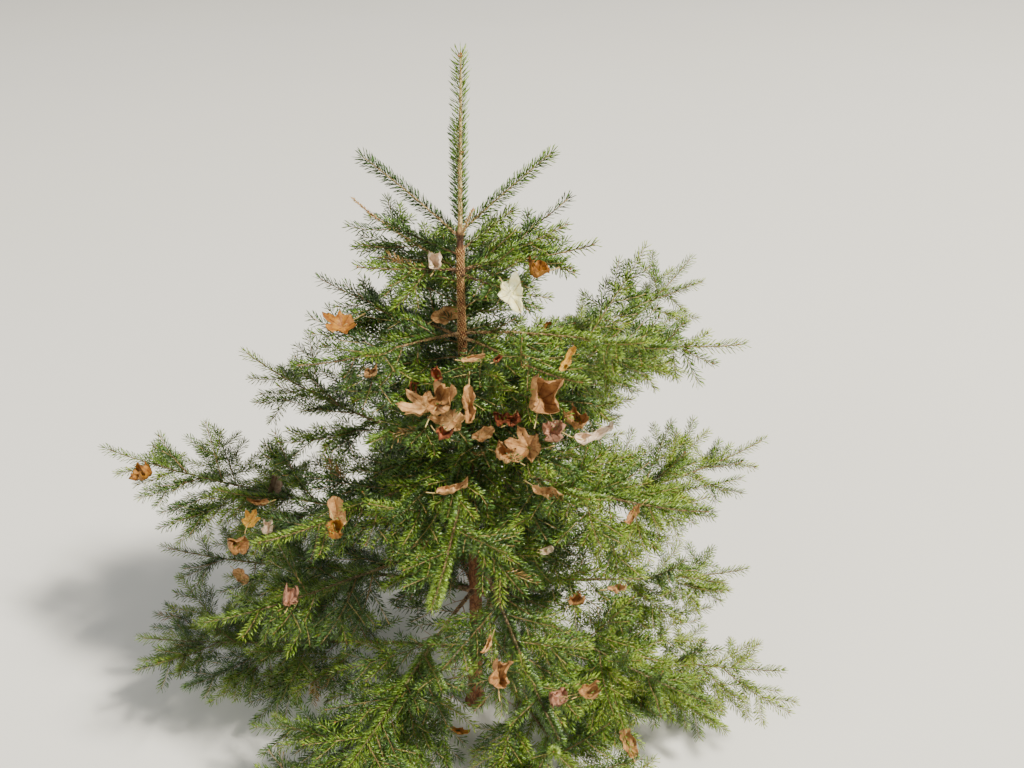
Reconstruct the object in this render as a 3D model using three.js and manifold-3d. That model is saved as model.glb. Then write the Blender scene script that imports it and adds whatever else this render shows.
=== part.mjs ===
// A young spruce, a little over waist high: a straight trunk with a flared foot, whorls of boughs
// that get shorter towards the top, and a long leader. Millimetres, +Z up. The origin is the centre
// of the flat cut under the trunk, at ground level. Heading 0 is +X and heading 90 is +Y.
import * as THREE from "three";
import { mergeVertices } from "three/addons/utils/BufferGeometryUtils.js";
import Module from "manifold-3d";

// Trunk
const HEIGHT = 1150; // ground to the tip of the leader's needles
const LEADER_FOOT = 908; // where this year's leader starts, at the top whorl
const LEADER_NEEDLES = 930; // the leader's lowest needles
const BUD = 9; // the leader's last needles stand this much above its wood
const TRUNK_RADIUS = 13; // at the ground, before the flare
const FULL_TAPER_HEIGHT = 1250; // where the trunk's taper would reach nothing
const TAPER_POWER = 0.9;
const LEADER_SHARE = 0.8; // the leader is this much thinner than the taper gives
const LEADER_STEP = 5; // height over which it thins
const FLARE = 6; // the root flare's extra radius at the ground
const FLARE_HEIGHT = 28;
const SWAY = { x: 5, xHeight: 165, y: 4, yHeight: 210, yStart: 0.6 };

// Each whorl: height, how much of a bough is bare, how thick a bough is at its foot, whether its
// boughs have bare wood of their own and side shoots, and the boughs. A bough is [heading, length,
// rise at the foot, rise at the tip, sag], in degrees and millimetres.
const WHORLS = [
  {
    height: 130,
    bare: 0.24,
    foot: 3.5,
    wood: true,
    twigs: true,
    boughs: [
      [178, 590, 8, 6, 10],
      [228, 480, 10, 4, 12],
      [302, 480, 10, 4, 12],
      [354, 520, 8, 4, 10],
      [78, 520, 12, 10, 10],
    ],
  },
  {
    height: 265,
    bare: 0.26,
    foot: 3.6,
    wood: true,
    twigs: true,
    boughs: [
      [171, 550, 10, 10, 12],
      [244, 430, 6, 6, 14],
      [326, 420, 6, 8, 12],
      [2, 450, 10, 12, 12],
      [112, 500, 16, 14, 12],
    ],
  },
  {
    height: 360,
    bare: 0.26,
    foot: 3.7,
    wood: true,
    twigs: true,
    boughs: [
      [168, 650, 18, 16, 12],
      [206, 430, 10, 10, 14],
      [288, 400, 6, 10, 14],
      [20, 540, 14, 22, 14],
      [62, 520, 20, 18, 12],
    ],
  },
  {
    height: 521,
    bare: 0.2,
    foot: 3.5,
    wood: true,
    twigs: true,
    boughs: [
      [154, 430, 18, 26, 12],
      [218, 350, 8, 14, 12],
      [264, 320, 6, 14, 12],
      [334, 380, 8, 18, 12],
      [45, 580, 26, 30, 14],
      [102, 440, 24, 22, 10],
    ],
  },
  {
    height: 752,
    bare: 0.1,
    foot: 2.3,
    wood: false,
    twigs: true,
    boughs: [
      [163, 225, 20, 26, 10],
      [214, 250, 8, 16, 10],
      [312, 240, 8, 18, 10],
      [358, 400, 4, 8, 12],
      [92, 270, 28, 22, 8],
    ],
  },
  {
    height: 851,
    bare: 0.06,
    foot: 1.9,
    wood: false,
    twigs: true,
    boughs: [
      [144, 210, 22, 30, 10],
      [196, 140, 8, 14, 4],
      [304, 130, 10, 18, 4],
      [356, 185, 14, 20, 6],
      [36, 200, 22, 30, 8],
    ],
  },
  {
    height: 880,
    bare: 0.05,
    foot: 1.4,
    wood: false,
    twigs: false,
    boughs: [
      [164, 110, 16, 22, 0],
      [34, 92, 26, 24, 0],
    ],
  },
  {
    height: 908,
    bare: 0.04,
    foot: 1.6,
    wood: false,
    twigs: false,
    boughs: [
      [184, 165, 46, 40, 0],
      [8, 158, 42, 38, 0],
      [292, 76, 50, 46, 0],
      [94, 140, 62, 58, 0],
    ],
  },
];
const WHORL_SPREAD = 3.5; // boughs of one whorl stand this much below or above it in turn

// Dead twigs low on the trunk, with their heights, each a bough as above
const DEAD_TWIGS = [
  { height: 66, bough: [197, 165, 4, -6, 0] },
  { height: 84, bough: [243, 140, 10, 0, 6] },
  { height: 58, bough: [316, 120, 2, -4, 0] },
  { height: 78, bough: [140, 130, 8, 4, 0] },
];
const DEAD_FOOT = 1.9;

// Growth rule
const STEPS = 14; // straight pieces along a bough
const THINNING = 0.8; // power by which a bough thins towards its tip
const TIP_RADIUS = 0.9;
const TWIG_STEPS = 5; // straight pieces along a side shoot
const TWIG_SPACING = 62; // side shoots along a bough
const SPACES_LEAST = 1;
const TWIG_START = 0.03; // the first side shoot stands this share of the bough past its bare part
const LAST_SHOOT = 85; // a bough's last shoot has no side shoots: the last pair stands at its foot
const LAST_SHARE = 0.4; // most of a short bough that its last shoot takes up
const TWIG_JITTER = 0.4; // how far a side shoot strays along the bough, as a share of their spacing
const TWIG_SHARE = 0.5; // a side shoot's length, as a share of what is left of the bough
const TWIG_LEAST = 18;
const TWIG_MOST = 165;
const TWIG_FOOT = 0.62; // a side shoot's thickness, as a share of the bough's there
const TWIG_ANGLE = 56;
const TWIG_ANGLE_SPREAD = 9;
const TWIG_TURN_BACK = 0.22; // share of that angle that a side shoot bends back towards its bough
const TWIG_HANG = [6, 18]; // least and most degrees that a side shoot hangs at its foot
const TWIG_LIFT = 8; // degrees that it lifts again towards its tip

// Needle sprays: each tooth stands for a tuft of needles
const TOOTH_SPACING = 40;
const TOOTH_REACH = 15;
const TOOTH_LEAN = 11;
const TEETH = [2, 14]; // least and most teeth on a wing
const WING_RISE = 0.3; // radians that a side shoot's two wings are raised
const STEM_WING_RISE = 0.2;
const LEADER_WINGS = 4;
const LEADER_REACH = 13;
const SLEEVE_RADIUS = 7; // the leader's needles between their teeth

// Seats and facets
const GAP = 0.3; // least gap between pieces that meet
const BOUGH_SEAT = 0.2; // a bough's wood stops this much before its seat, and its mass starts as far past it
const SUNK = 4; // how far a limb starts inside the trunk before it is cut clear of it
const TRUNK_SIDES = 10;
const STEM_ROWS = 15;
const STEM_ROW_POWER = 1.6; // the trunk's rows are closer towards the ground
const LEADER_ROWS = 5;
const LIMB_SIDES = 6;
const LIMB_ROWS = 4;
const DEAD_SIDES = 5;

const deg = THREE.MathUtils.degToRad;
const { clamp, lerp } = THREE.MathUtils;
const UP = new THREE.Vector3(0, 0, 1);
const EAST = new THREE.Vector3(1, 0, 0);

const wasm = await Module();
wasm.setup();

// A repeatable number from 0 to 1 for any list of whole numbers.
function chance(...keys) {
  let h = 0x2545f491;
  for (const key of keys) {
    h ^= Math.imul(key + 1, 0x9e3779b1);
    h = Math.imul(h ^ (h >>> 15), 0x2c1b3c6d);
    h = Math.imul(h ^ (h >>> 12), 0x297a2d39);
    h ^= h >>> 15;
  }
  return (h >>> 0) / 2 ** 32;
}

// A direction from a heading and a rise, both in radians.
function towards(turn, rise) {
  return new THREE.Vector3(
    Math.cos(turn) * Math.cos(rise),
    Math.sin(turn) * Math.cos(rise),
    Math.sin(rise),
  );
}

function trunkAxis(z) {
  const y = Math.sin(z / SWAY.yHeight + SWAY.yStart) - Math.sin(SWAY.yStart);
  return new THREE.Vector3(SWAY.x * Math.sin(z / SWAY.xHeight), SWAY.y * y, z);
}

function trunkRadius(z) {
  const taper = TRUNK_RADIUS * (1 - z / FULL_TAPER_HEIGHT) ** TAPER_POWER;
  return taper * (z > LEADER_FOOT ? LEADER_SHARE : 1) + FLARE * Math.exp(-z / FLARE_HEIGHT);
}

// The line of a bough, from the bark outwards.
function boughPath([turn, length, rise, lift, sag], height) {
  const point = trunkAxis(height).addScaledVector(towards(deg(turn), 0), trunkRadius(height));
  const points = [point.clone()];
  for (let i = 0; i < STEPS; i++) {
    const s = (i + 0.5) / STEPS;
    const tilt = lerp(rise, lift, s) - sag * Math.sin(Math.PI * s);
    point.addScaledVector(towards(deg(turn), deg(tilt)), length / STEPS);
    points.push(point.clone());
  }
  return points;
}

// Point and direction at a share of a path.
function along(points, share) {
  const t = clamp(share, 0, 1) * (points.length - 1);
  const i = Math.min(Math.floor(t), points.length - 2);
  return {
    point: points[i].clone().lerp(points[i + 1], t - i),
    way: points[i + 1].clone().sub(points[i]).normalize(),
  };
}

const evenly = (from, to, steps) => Array.from({ length: steps + 1 }, (_, i) => lerp(from, to, i / steps));

function stretch(points, from, to, steps) {
  return evenly(from, to, steps).map((share) => along(points, share).point);
}

// The side shoots of a bough, on its left and right in turn. The last two stand as a pair.
function sideShoots(points, length, bare, keys) {
  const first = bare + TWIG_START;
  const last = 1 - Math.min(LAST_SHOOT / length, LAST_SHARE);
  const spaces = Math.max(SPACES_LEAST, Math.round((length * (last - bare)) / TWIG_SPACING));
  return Array.from({ length: spaces + 2 }, (_, i) => {
    const place = (i + TWIG_JITTER * chance(...keys, i, 1)) / (spaces + TWIG_JITTER);
    const share = lerp(first, last, Math.min(1, place));
    const grown = TWIG_SHARE * length * (1 - share) + TWIG_LEAST;
    const reach = Math.min(grown * lerp(0.85, 1.15, chance(...keys, i, 2)), TWIG_MOST);
    const { point, way } = along(points, share);
    const angle = TWIG_ANGLE + TWIG_ANGLE_SPREAD * lerp(-1, 1, chance(...keys, i, 3));
    const turn = deg(i % 2 ? angle : -angle);
    const hang = lerp(...TWIG_HANG, chance(...keys, i, 4));
    const path = [point.clone()];
    for (let k = 0; k < TWIG_STEPS; k++) {
      const f = (k + 0.5) / TWIG_STEPS;
      const tilt = 0.6 * Math.asin(way.z) - deg(lerp(hang, -TWIG_LIFT, f));
      const heading = Math.atan2(way.y, way.x) + turn * (1 - TWIG_TURN_BACK * f);
      point.addScaledVector(towards(heading, tilt), reach / TWIG_STEPS);
      path.push(point.clone());
    }
    return { path, reach, share };
  });
}

// Directions across a path at each of its points. A level path's rings stay level.
function frames(points, level) {
  return points.map((point, i) => {
    if (level) return { point, way: UP, side: EAST, over: EAST.clone().cross(UP) };
    const next = points[Math.min(i + 1, points.length - 1)];
    const way = next.clone().sub(points[Math.max(i - 1, 0)]).normalize();
    const side = way.clone().cross(Math.abs(way.z) > 0.95 ? EAST : UP).normalize();
    return { point, way, side, over: side.clone().cross(way) };
  });
}

function solidOf(geometry) {
  geometry.deleteAttribute("normal");
  geometry.deleteAttribute("uv");
  const merged = mergeVertices(geometry, 1e-4);
  return new wasm.Manifold(
    new wasm.Mesh({
      numProp: 3,
      vertProperties: merged.attributes.position.array,
      triVerts: new Uint32Array(merged.index.array),
    }),
  );
}

// A cylinder laid along a path, with a ring of corners at each of the path's points. place(row,
// corner) gives how far a corner stands off the path, its roll round it and how far forward it leans.
function laidAlong(points, sides, pointed, level, place) {
  const rows = points.length - 1;
  const geometry = new THREE.CylinderGeometry(pointed ? 0 : 1, 1, rows, sides, rows);
  const position = geometry.attributes.position;
  const frame = frames(points, level);
  for (let i = 0; i < position.count; i++) {
    const x = position.getX(i);
    const z = position.getZ(i);
    const row = Math.round(position.getY(i) + rows / 2);
    const { point, way, side, over } = frame[row];
    const spot = point.clone();
    if (Math.hypot(x, z) > 1e-6) {
      const corner = Math.round((Math.atan2(z, x) / (2 * Math.PI)) * sides + sides) % sides;
      const { off, roll, lean } = place(row, corner);
      spot.addScaledVector(side, off * Math.cos(roll));
      spot.addScaledVector(over, off * Math.sin(roll));
      spot.addScaledVector(way, lean);
    }
    position.setXYZ(i, spot.x, spot.y, spot.z);
  }
  return solidOf(geometry);
}

function limb(points, radii, sides, level = false) {
  const place = (row, corner) => ({ off: radii[row], roll: (2 * Math.PI * corner) / sides, lean: 0 });
  return laidAlong(points, sides, false, level, place);
}

// A toothed spray of needles: a slim core with wings whose edges step out to a tooth and back.
// Rows are notches and teeth in turn, and the last is the point.
function spray(points, wings, wingRise, coreAt, reach) {
  const rows = points.length - 1;
  return laidAlong(points, 2 * wings, true, false, (row, corner) => {
    const core = coreAt(row / rows);
    const turn = (Math.PI * corner) / wings;
    const onWing = corner % 2 === 0;
    const roll = onWing ? turn + wingRise * Math.cos(turn) : turn;
    if (!onWing || row % 2 === 0) return { off: core, roll, lean: 0 };
    const grown = Math.min(1, 0.25 + 0.2 * row, 0.5 + 0.12 * (rows - row));
    return { off: core + reach * grown, roll, lean: TOOTH_LEAN };
  });
}

// Points for a spray along a stretch of a path: two rows for each tooth.
function sprayPoints(path, from, to, length) {
  const teeth = clamp(Math.round(length / TOOTH_SPACING), ...TEETH);
  return stretch(path, from, to, 2 * teeth);
}

const largest = (solid) => solid.decompose().reduce((a, b) => (b.volume() > a.volume() ? b : a));

function boxesMeet(a, b) {
  const p = a.boundingBox();
  const q = b.boundingBox();
  return [0, 1, 2].every((k) => p.min[k] - GAP <= q.max[k] && q.min[k] - GAP <= p.max[k]);
}

const isClear = (solid, others) =>
  others.every((other) => !boxesMeet(solid, other) || solid.minGap(other, 1) >= GAP);

// The wood of the trunk from the flat cut to the leader's tip, grown by some extra all round.
function trunkSolid(extra) {
  const top = HEIGHT - BUD;
  const heights = [
    ...evenly(0, 1, STEM_ROWS).map((share) => LEADER_FOOT * share ** STEM_ROW_POWER),
    ...evenly(LEADER_FOOT + LEADER_STEP, top, LEADER_ROWS),
  ];
  const radii = heights.map((z) => trunkRadius(z) + extra);
  heights[heights.length - 1] += extra;
  return limb(heights.map(trunkAxis), radii, TRUNK_SIDES, true);
}

// A point inside the trunk, in line with the foot of a path.
const insideTrunk = (path) => path[0].clone().addScaledVector(along(path, 0).way, -SUNK);

function deadTwig({ height, bough }) {
  const path = boughPath(bough, height);
  const shares = evenly(0, 1, LIMB_ROWS);
  const radii = [DEAD_FOOT, ...shares.map((share) => lerp(DEAD_FOOT, TIP_RADIUS, share))];
  return limb([insideTrunk(path), ...stretch(path, 0, 1, LIMB_ROWS)], radii, DEAD_SIDES);
}

// A bough: its path, its bare wood if it has any, and the stem of its mass.
function growBough(whorl, tier, place, trunkSpace) {
  const bough = whorl.boughs[place];
  const length = bough[1];
  const path = boughPath(bough, whorl.height + (place % 2 ? WHORL_SPREAD : -WHORL_SPREAD));
  const radiusAt = (share) => lerp(whorl.foot, TIP_RADIUS, share ** THINNING);
  const seat = BOUGH_SEAT / length;
  const start = whorl.wood ? whorl.bare + seat : 0;
  const points = sprayPoints(path, start, 1, length * (1 - start));
  if (!whorl.wood) points[0] = insideTrunk(path);
  const stem = spray(points, 2, STEM_WING_RISE, (s) => radiusAt(lerp(start, 1, s)), TOOTH_REACH);
  const grown = { path, length, radiusAt, bare: whorl.bare, twigs: whorl.twigs, keys: [tier, place] };
  grown.foliage = largest(stem.subtract(trunkSpace));
  if (whorl.wood) {
    const end = whorl.bare - seat;
    const woodPoints = [insideTrunk(path), ...stretch(path, 0, end, LIMB_ROWS)];
    const radii = [whorl.foot, ...evenly(0, end, LIMB_ROWS).map(radiusAt)];
    const wood = limb(woodPoints, radii, LIMB_SIDES);
    grown.wood = largest(wood.subtract(trunkSpace));
  }
  return grown;
}

// A bough's mass with its side shoots, each at the first of these shares of its length that is
// clear of everything else, or left out.
const SHORTER = [1, 0.75, 0.5];
function growSideShoots(grown, others) {
  let mass = grown.foliage;
  if (!grown.twigs) return mass;
  for (const { path, reach, share } of sideShoots(grown.path, grown.length, grown.bare, grown.keys)) {
    const foot = Math.max(TIP_RADIUS, TWIG_FOOT * grown.radiusAt(share));
    const coreAt = (s) => lerp(foot, TIP_RADIUS, s);
    const sized = (part) =>
      spray(sprayPoints(path, 0, part, reach * part), 2, WING_RISE, coreAt, TOOTH_REACH);
    const shoot = SHORTER.map(sized).find((candidate) => isClear(candidate, others));
    if (shoot) mass = mass.add(shoot);
  }
  return largest(mass);
}

// The leader's needles: a sleeve round the leader with its own teeth, open below.
function leaderSleeve(trunkSpace) {
  const line = evenly(LEADER_NEEDLES, HEIGHT, LEADER_ROWS).map(trunkAxis);
  const points = sprayPoints(line, 0, 1, HEIGHT - LEADER_NEEDLES);
  return largest(spray(points, LEADER_WINGS, 0, () => SLEEVE_RADIUS, LEADER_REACH).subtract(trunkSpace));
}

function toMesh(name, solid, material) {
  const { vertProperties, triVerts } = solid.getMesh();
  const geometry = new THREE.BufferGeometry();
  geometry.setAttribute("position", new THREE.BufferAttribute(vertProperties, 3));
  geometry.setIndex(new THREE.BufferAttribute(triVerts, 1));
  geometry.computeVertexNormals();
  const mesh = new THREE.Mesh(geometry, material);
  mesh.name = name;
  return mesh;
}

const bark = new THREE.MeshStandardMaterial({ color: 0x6b4a33, roughness: 0.9, metalness: 0 });
const needles = new THREE.MeshStandardMaterial({ color: 0x4f7a2c, roughness: 0.6, metalness: 0 });

const trunk = DEAD_TWIGS.map(deadTwig).reduce((wood, twig) => wood.add(twig), trunkSolid(0));
// The trunk's facets stand nearer than its corners, so its space is a little more than the gap.
const trunkSpace = trunkSolid(1.25 * GAP);
const boughs = WHORLS.flatMap((whorl, tier) =>
  whorl.boughs.map((_, place) => growBough(whorl, tier, place, trunkSpace)),
);
const wood = [trunk, ...boughs.filter((bough) => bough.wood).map((bough) => bough.wood)];
for (const bough of boughs) {
  const others = boughs.filter((other) => other !== bough).map((other) => other.foliage);
  bough.foliage = growSideShoots(bough, [...wood, ...others]);
}

const spruce = new THREE.Group();
spruce.add(toMesh("trunk", trunk, bark));
spruce.add(toMesh("leader_needles", leaderSleeve(trunkSpace), needles));
for (const bough of boughs) {
  const [tier, place] = bough.keys;
  const name = `tier${tier + 1}_${place + 1}`;
  if (bough.wood) spruce.add(toMesh(`bough_${name}`, bough.wood, bark));
  spruce.add(toMesh(`foliage_${name}`, bough.foliage, needles));
}

export default spruce;
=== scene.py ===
"""A young spruce: a straight trunk, whorls of boughs, fine twigs with needles, and dry leaves caught in it.

The boughs and their side shoots grow by the rule that the solids were grown by, and go on from there to
finer twigs. Growth is worked out in millimetres and meshes are made in metres. Heading 0 is +X, to the
right, and heading 90 is +Y, away from the camera.
"""
import math
from typing import NamedTuple

import bmesh
import bpy
import numpy as np
from mathutils import Matrix, Vector, noise
from mathutils.bvhtree import BVHTree


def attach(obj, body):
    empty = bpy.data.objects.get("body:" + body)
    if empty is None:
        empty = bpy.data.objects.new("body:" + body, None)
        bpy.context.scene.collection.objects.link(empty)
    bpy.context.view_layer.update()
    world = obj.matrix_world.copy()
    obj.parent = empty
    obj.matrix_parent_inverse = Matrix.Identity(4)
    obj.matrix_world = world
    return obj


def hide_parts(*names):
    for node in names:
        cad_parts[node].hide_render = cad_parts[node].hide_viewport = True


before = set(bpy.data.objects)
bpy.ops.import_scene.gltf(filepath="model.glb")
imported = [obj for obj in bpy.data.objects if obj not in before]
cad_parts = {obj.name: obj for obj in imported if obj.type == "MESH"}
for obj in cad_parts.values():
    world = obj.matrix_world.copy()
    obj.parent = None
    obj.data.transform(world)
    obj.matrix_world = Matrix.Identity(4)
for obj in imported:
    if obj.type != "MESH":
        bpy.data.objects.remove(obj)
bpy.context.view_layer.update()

MM = 0.001
SEED = 20

# Trunk
HEIGHT = 1150
LEADER_FOOT = 908
LEADER_NEEDLES = 926
BUD = 9
TRUNK_RADIUS = 13
FULL_TAPER_HEIGHT = 1250
TAPER_POWER = 0.9
LEADER_SHARE = 0.8
FLARE = 6
FLARE_HEIGHT = 28
SWAY_X, SWAY_X_HEIGHT = 5, 165
SWAY_Y, SWAY_Y_HEIGHT, SWAY_Y_START = 4, 210, 0.6


class Whorl(NamedTuple):
    """Boughs from one height: heading, length, rise at the foot, rise at the tip and sag of each."""

    height: float
    bare: float  # share of a bough that has no needles
    foot: float  # radius of a bough at its foot
    twigs: bool  # whether its boughs have side shoots
    boughs: list


WHORLS = [
    Whorl(130, 0.24, 3.5, True, [
        (178, 590, 8, 6, 10), (228, 480, 10, 4, 12), (302, 480, 10, 4, 12),
        (354, 520, 8, 4, 10), (78, 520, 12, 10, 10)]),
    Whorl(265, 0.26, 3.6, True, [
        (171, 550, 10, 10, 12), (244, 430, 6, 6, 14), (326, 420, 6, 8, 12),
        (2, 450, 10, 12, 12), (112, 500, 16, 14, 12)]),
    Whorl(360, 0.26, 3.7, True, [
        (168, 650, 18, 16, 12), (206, 430, 10, 10, 14), (288, 400, 6, 10, 14),
        (20, 540, 14, 22, 14), (62, 520, 20, 18, 12)]),
    Whorl(521, 0.2, 3.5, True, [
        (154, 430, 18, 26, 12), (218, 350, 8, 14, 12), (264, 320, 6, 14, 12),
        (334, 380, 8, 18, 12), (45, 580, 26, 30, 14), (102, 440, 24, 22, 10)]),
    Whorl(752, 0.1, 2.3, True, [
        (163, 225, 20, 26, 10), (214, 250, 8, 16, 10), (312, 240, 8, 18, 10),
        (358, 400, 4, 8, 12), (92, 270, 28, 22, 8)]),
    Whorl(851, 0.06, 1.9, True, [
        (144, 210, 22, 30, 10), (196, 140, 8, 14, 4), (304, 130, 10, 18, 4),
        (356, 185, 14, 20, 6), (36, 200, 22, 30, 8)]),
    Whorl(880, 0.05, 1.4, False, [(164, 110, 16, 22, 0), (34, 92, 26, 24, 0)]),
    Whorl(908, 0.04, 1.6, False, [
        (184, 165, 46, 40, 0), (8, 158, 42, 38, 0), (292, 76, 50, 46, 0), (94, 140, 62, 58, 0)]),
]
WHORL_SPREAD = 3.5
DEAD_BOUGHS = [
    (66, (197, 165, 4, -6, 0)), (84, (243, 140, 10, 0, 6)),
    (58, (316, 120, 2, -4, 0)), (78, (140, 130, 8, 4, 0)),
]
DEAD_FOOT = 1.9
STUBS = [(270, 192, 30, 3.3), (268, 338, 20, 2.0)]  # broken boughs: height, heading, length and radius
STUB_RISE = (12, 20)
STUB_TAPER = (1.4, 0.65)

# Growth rule
STEPS = 14
THINNING = 0.8
TIP_RADIUS = 0.9
TWIG_STEPS = 5
TWIG_SPACING = 62
SPACES_LEAST = 1
TWIG_START = 0.03
LAST_SHOOT = 85
LAST_SHARE = 0.4
TWIG_JITTER = 0.4
TWIG_SHARE = 0.5
TWIG_LEAST = 18
TWIG_MOST = 165
TWIG_UNEVEN = (0.85, 1.15)
TWIG_ANGLE = 56
TWIG_ANGLE_SPREAD = 9
TWIG_TURN_BACK = 0.22
SLOPE_KEPT = 0.6  # share of its parent's slope that a shoot keeps
TWIG_HANG = (6, 18)
TWIG_LIFT = 8
GOLDEN_TURN = math.radians(137.5)
EITHER_WAY = (-1, 1)
SHORTER = (1, 0.75, 0.5)  # a side shoot has the first of these shares of its length that was free
KEPT_WITHIN = 1.5  # and its solid ends no further than this from where the rule puts its tip

# Finer growth, which the solids leave out
FINE_FOOT = 0.46  # a side shoot's radius, as a share of the solid's
BETWEEN_SPACING = 12.5  # between the weaker shoots in the spaces between side shoots
BETWEEN_SHARE = (0.6, 1.1)
BETWEEN_FIRST, BETWEEN_JITTER, BETWEEN_ROOM = 0.7, 0.5, 0.9  # places in a space, in steps of the spacing
BETWEEN_FOOT = 0.35  # radius, as a share of the bough's
BETWEEN_LEAST, BETWEEN_MOST = 48, 170
LOWEST_LONGER = 1.4  # on the lowest whorl
BETWEEN_ANGLE = (44, 62)
BETWEEN_HANG = (-22, 42)
HANGING = 0.24  # share of the weaker shoots that hang from the bough, on the lower whorls
HANGING_WHORLS = 5
HANGING_TILT = (48, 80)
RISING = 0.38  # and this share hang or else rise
RISING_TILT = (-62, -40)
GROUND_CLEAR = 20  # a hanging shoot is shorter than its height by at least this
INNER_START = 26  # shoots on a bough's bare part start this far from the trunk
INNER_SPACING = 15
INNER_REACH = (48, 125)
INNER_ANGLE = (38, 70)
INNER_TILT = (-42, 24)
INNER_SHORT = 0.4  # share of the longest reach that the first of them may have
INNER_FOOT = 1.1
SPOT_JITTER = 0.8
SHADED_WHORL = 0  # the lowest whorl, whose bare part stays bare
# Strong shoots low down at the front: whorl, bough, share along it, turn, hang and length
FRONT_SHOOTS = [
    (1, 1, 0.36, 46, 38, 190), (1, 1, 0.52, 50, 42, 160), (0, 1, 0.34, 48, 6, 190), (0, 3, 0.5, -50, 6, 190),
    (0, 3, 0.34, -52, 6, 190), (1, 2, 0.5, -34, 38, 180),
]
FRONT_FOOT = 1.2
TRUNK_SHOOTS = (250, 870)  # heights between which the trunk has shoots of its own
TRUNK_SHOOT_SPACING = 4.6
TRUNK_SHOOT_REACH = (70, 210)
TRUNK_SHOOT_RISE = (0, 42)
TRUNK_SHOOT_BEND = 0.2  # share of its rise that is left at its tip
TRUNK_SHOOT_FOOT = 1.3
TRUNK_SHOOT_SUNK = 1
TRUNK_OPEN = 700  # above this height the near side of the trunk stays open,
HIGH_SHORTER = 0.7  # and the shoots are shorter by this factor
OPEN_HEADING, OPEN_SPREAD = math.radians(275), math.radians(62)
PAIR_FIRST = 56  # a shoot's first pair of twiglets stands this far from its tip
PAIR_SPACING = (30, 40)
PAIR_SHARE = 0.5
PAIR_LEAST = 22
PAIR_MOST = 84
PAIR_ANGLE = (40, 54)
PAIR_HANG = (-10, 26)
PAIR_OFFSET = 3
PAIR_UNEVEN = (0.72, 1.12)
FINE_THINNER, FINE_THINNEST = 0.5, 0.65  # a twiglet's radius: a share of its parent's, and the least
LONE_CHANCE = 0.3  # of a small twiglet between two pairs
LONE_REACH = (24, 38)
FINE_STEPS = 3
CLEAR_STEPS = 12
TRUNK_SHOWS = [((453, 563), (482, 612)), ((455, 228), (473, 338))]  # corners in the picture, in pixels


def chance(*keys):
    """A repeatable number from 0 to 1 for any list of whole numbers. Each use has numbers of its own."""
    h = 0x2545F491
    for key in keys:
        h ^= (key + 1) * 0x9E3779B1 & 0xFFFFFFFF
        h = (h ^ h >> 15) * 0x2C1B3C6D & 0xFFFFFFFF
        h = (h ^ h >> 12) * 0x297A2D39 & 0xFFFFFFFF
        h ^= h >> 15
    return h / 2**32


def lerp(a, b, t):
    return a + (b - a) * t


def drawn(limits, *keys):
    """A repeatable number between two limits."""
    return lerp(*limits, chance(*keys))


def swing(limits, n, *keys):
    """A turn between two angles, to the left for an odd n and to the right for an even one."""
    return math.radians(drawn(limits, *keys)) * (1 if n % 2 else -1)


def towards(turn, rise):
    """A direction from a heading and a rise, both in radians."""
    flat = math.cos(rise)
    return np.array([math.cos(turn) * flat, math.sin(turn) * flat, math.sin(rise)])


def trunk_axis(z):
    y = math.sin(z / SWAY_Y_HEIGHT + SWAY_Y_START) - math.sin(SWAY_Y_START)
    return np.array([SWAY_X * math.sin(z / SWAY_X_HEIGHT), SWAY_Y * y, z])


def trunk_radius(z):
    taper = TRUNK_RADIUS * (1 - z / FULL_TAPER_HEIGHT) ** TAPER_POWER
    taper *= LEADER_SHARE if z > LEADER_FOOT else 1
    return taper + FLARE * math.exp(-z / FLARE_HEIGHT)


def bough_path(bough, height):
    """The line of a bough, from the bark outwards."""
    turn, length, rise, lift, sag = bough
    point = trunk_axis(height) + towards(math.radians(turn), 0) * trunk_radius(height)
    points = [point]
    for i in range(STEPS):
        s = (i + 0.5) / STEPS
        tilt = lerp(rise, lift, s) - sag * math.sin(math.pi * s)
        point = point + towards(math.radians(turn), math.radians(tilt)) * (length / STEPS)
        points.append(point)
    return np.array(points)


def along(points, share):
    """Point and direction at a share of a path."""
    t = min(max(share, 0), 1) * (len(points) - 1)
    i = min(int(t), len(points) - 2)
    step = points[i + 1] - points[i]
    return points[i] + step * (t - i), step / np.linalg.norm(step)


def stretch(points, start, end, steps):
    return np.array([along(points, lerp(start, end, i / steps))[0] for i in range(steps + 1)])


def shoot_path(point, way, turn, tilts, reach, steps):
    """The line of a side shoot, which bends back towards its parent. tilts are those at its foot and tip."""
    slope = SLOPE_KEPT * math.asin(max(-1, min(1, way[2])))
    heading = math.atan2(way[1], way[0])
    points = [point]
    for k in range(steps):
        f = (k + 0.5) / steps
        tilt = slope - math.radians(lerp(*tilts, f))
        point = point + towards(heading + turn * (1 - TWIG_TURN_BACK * f), tilt) * (reach / steps)
        points.append(point)
    return np.array(points)


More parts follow.
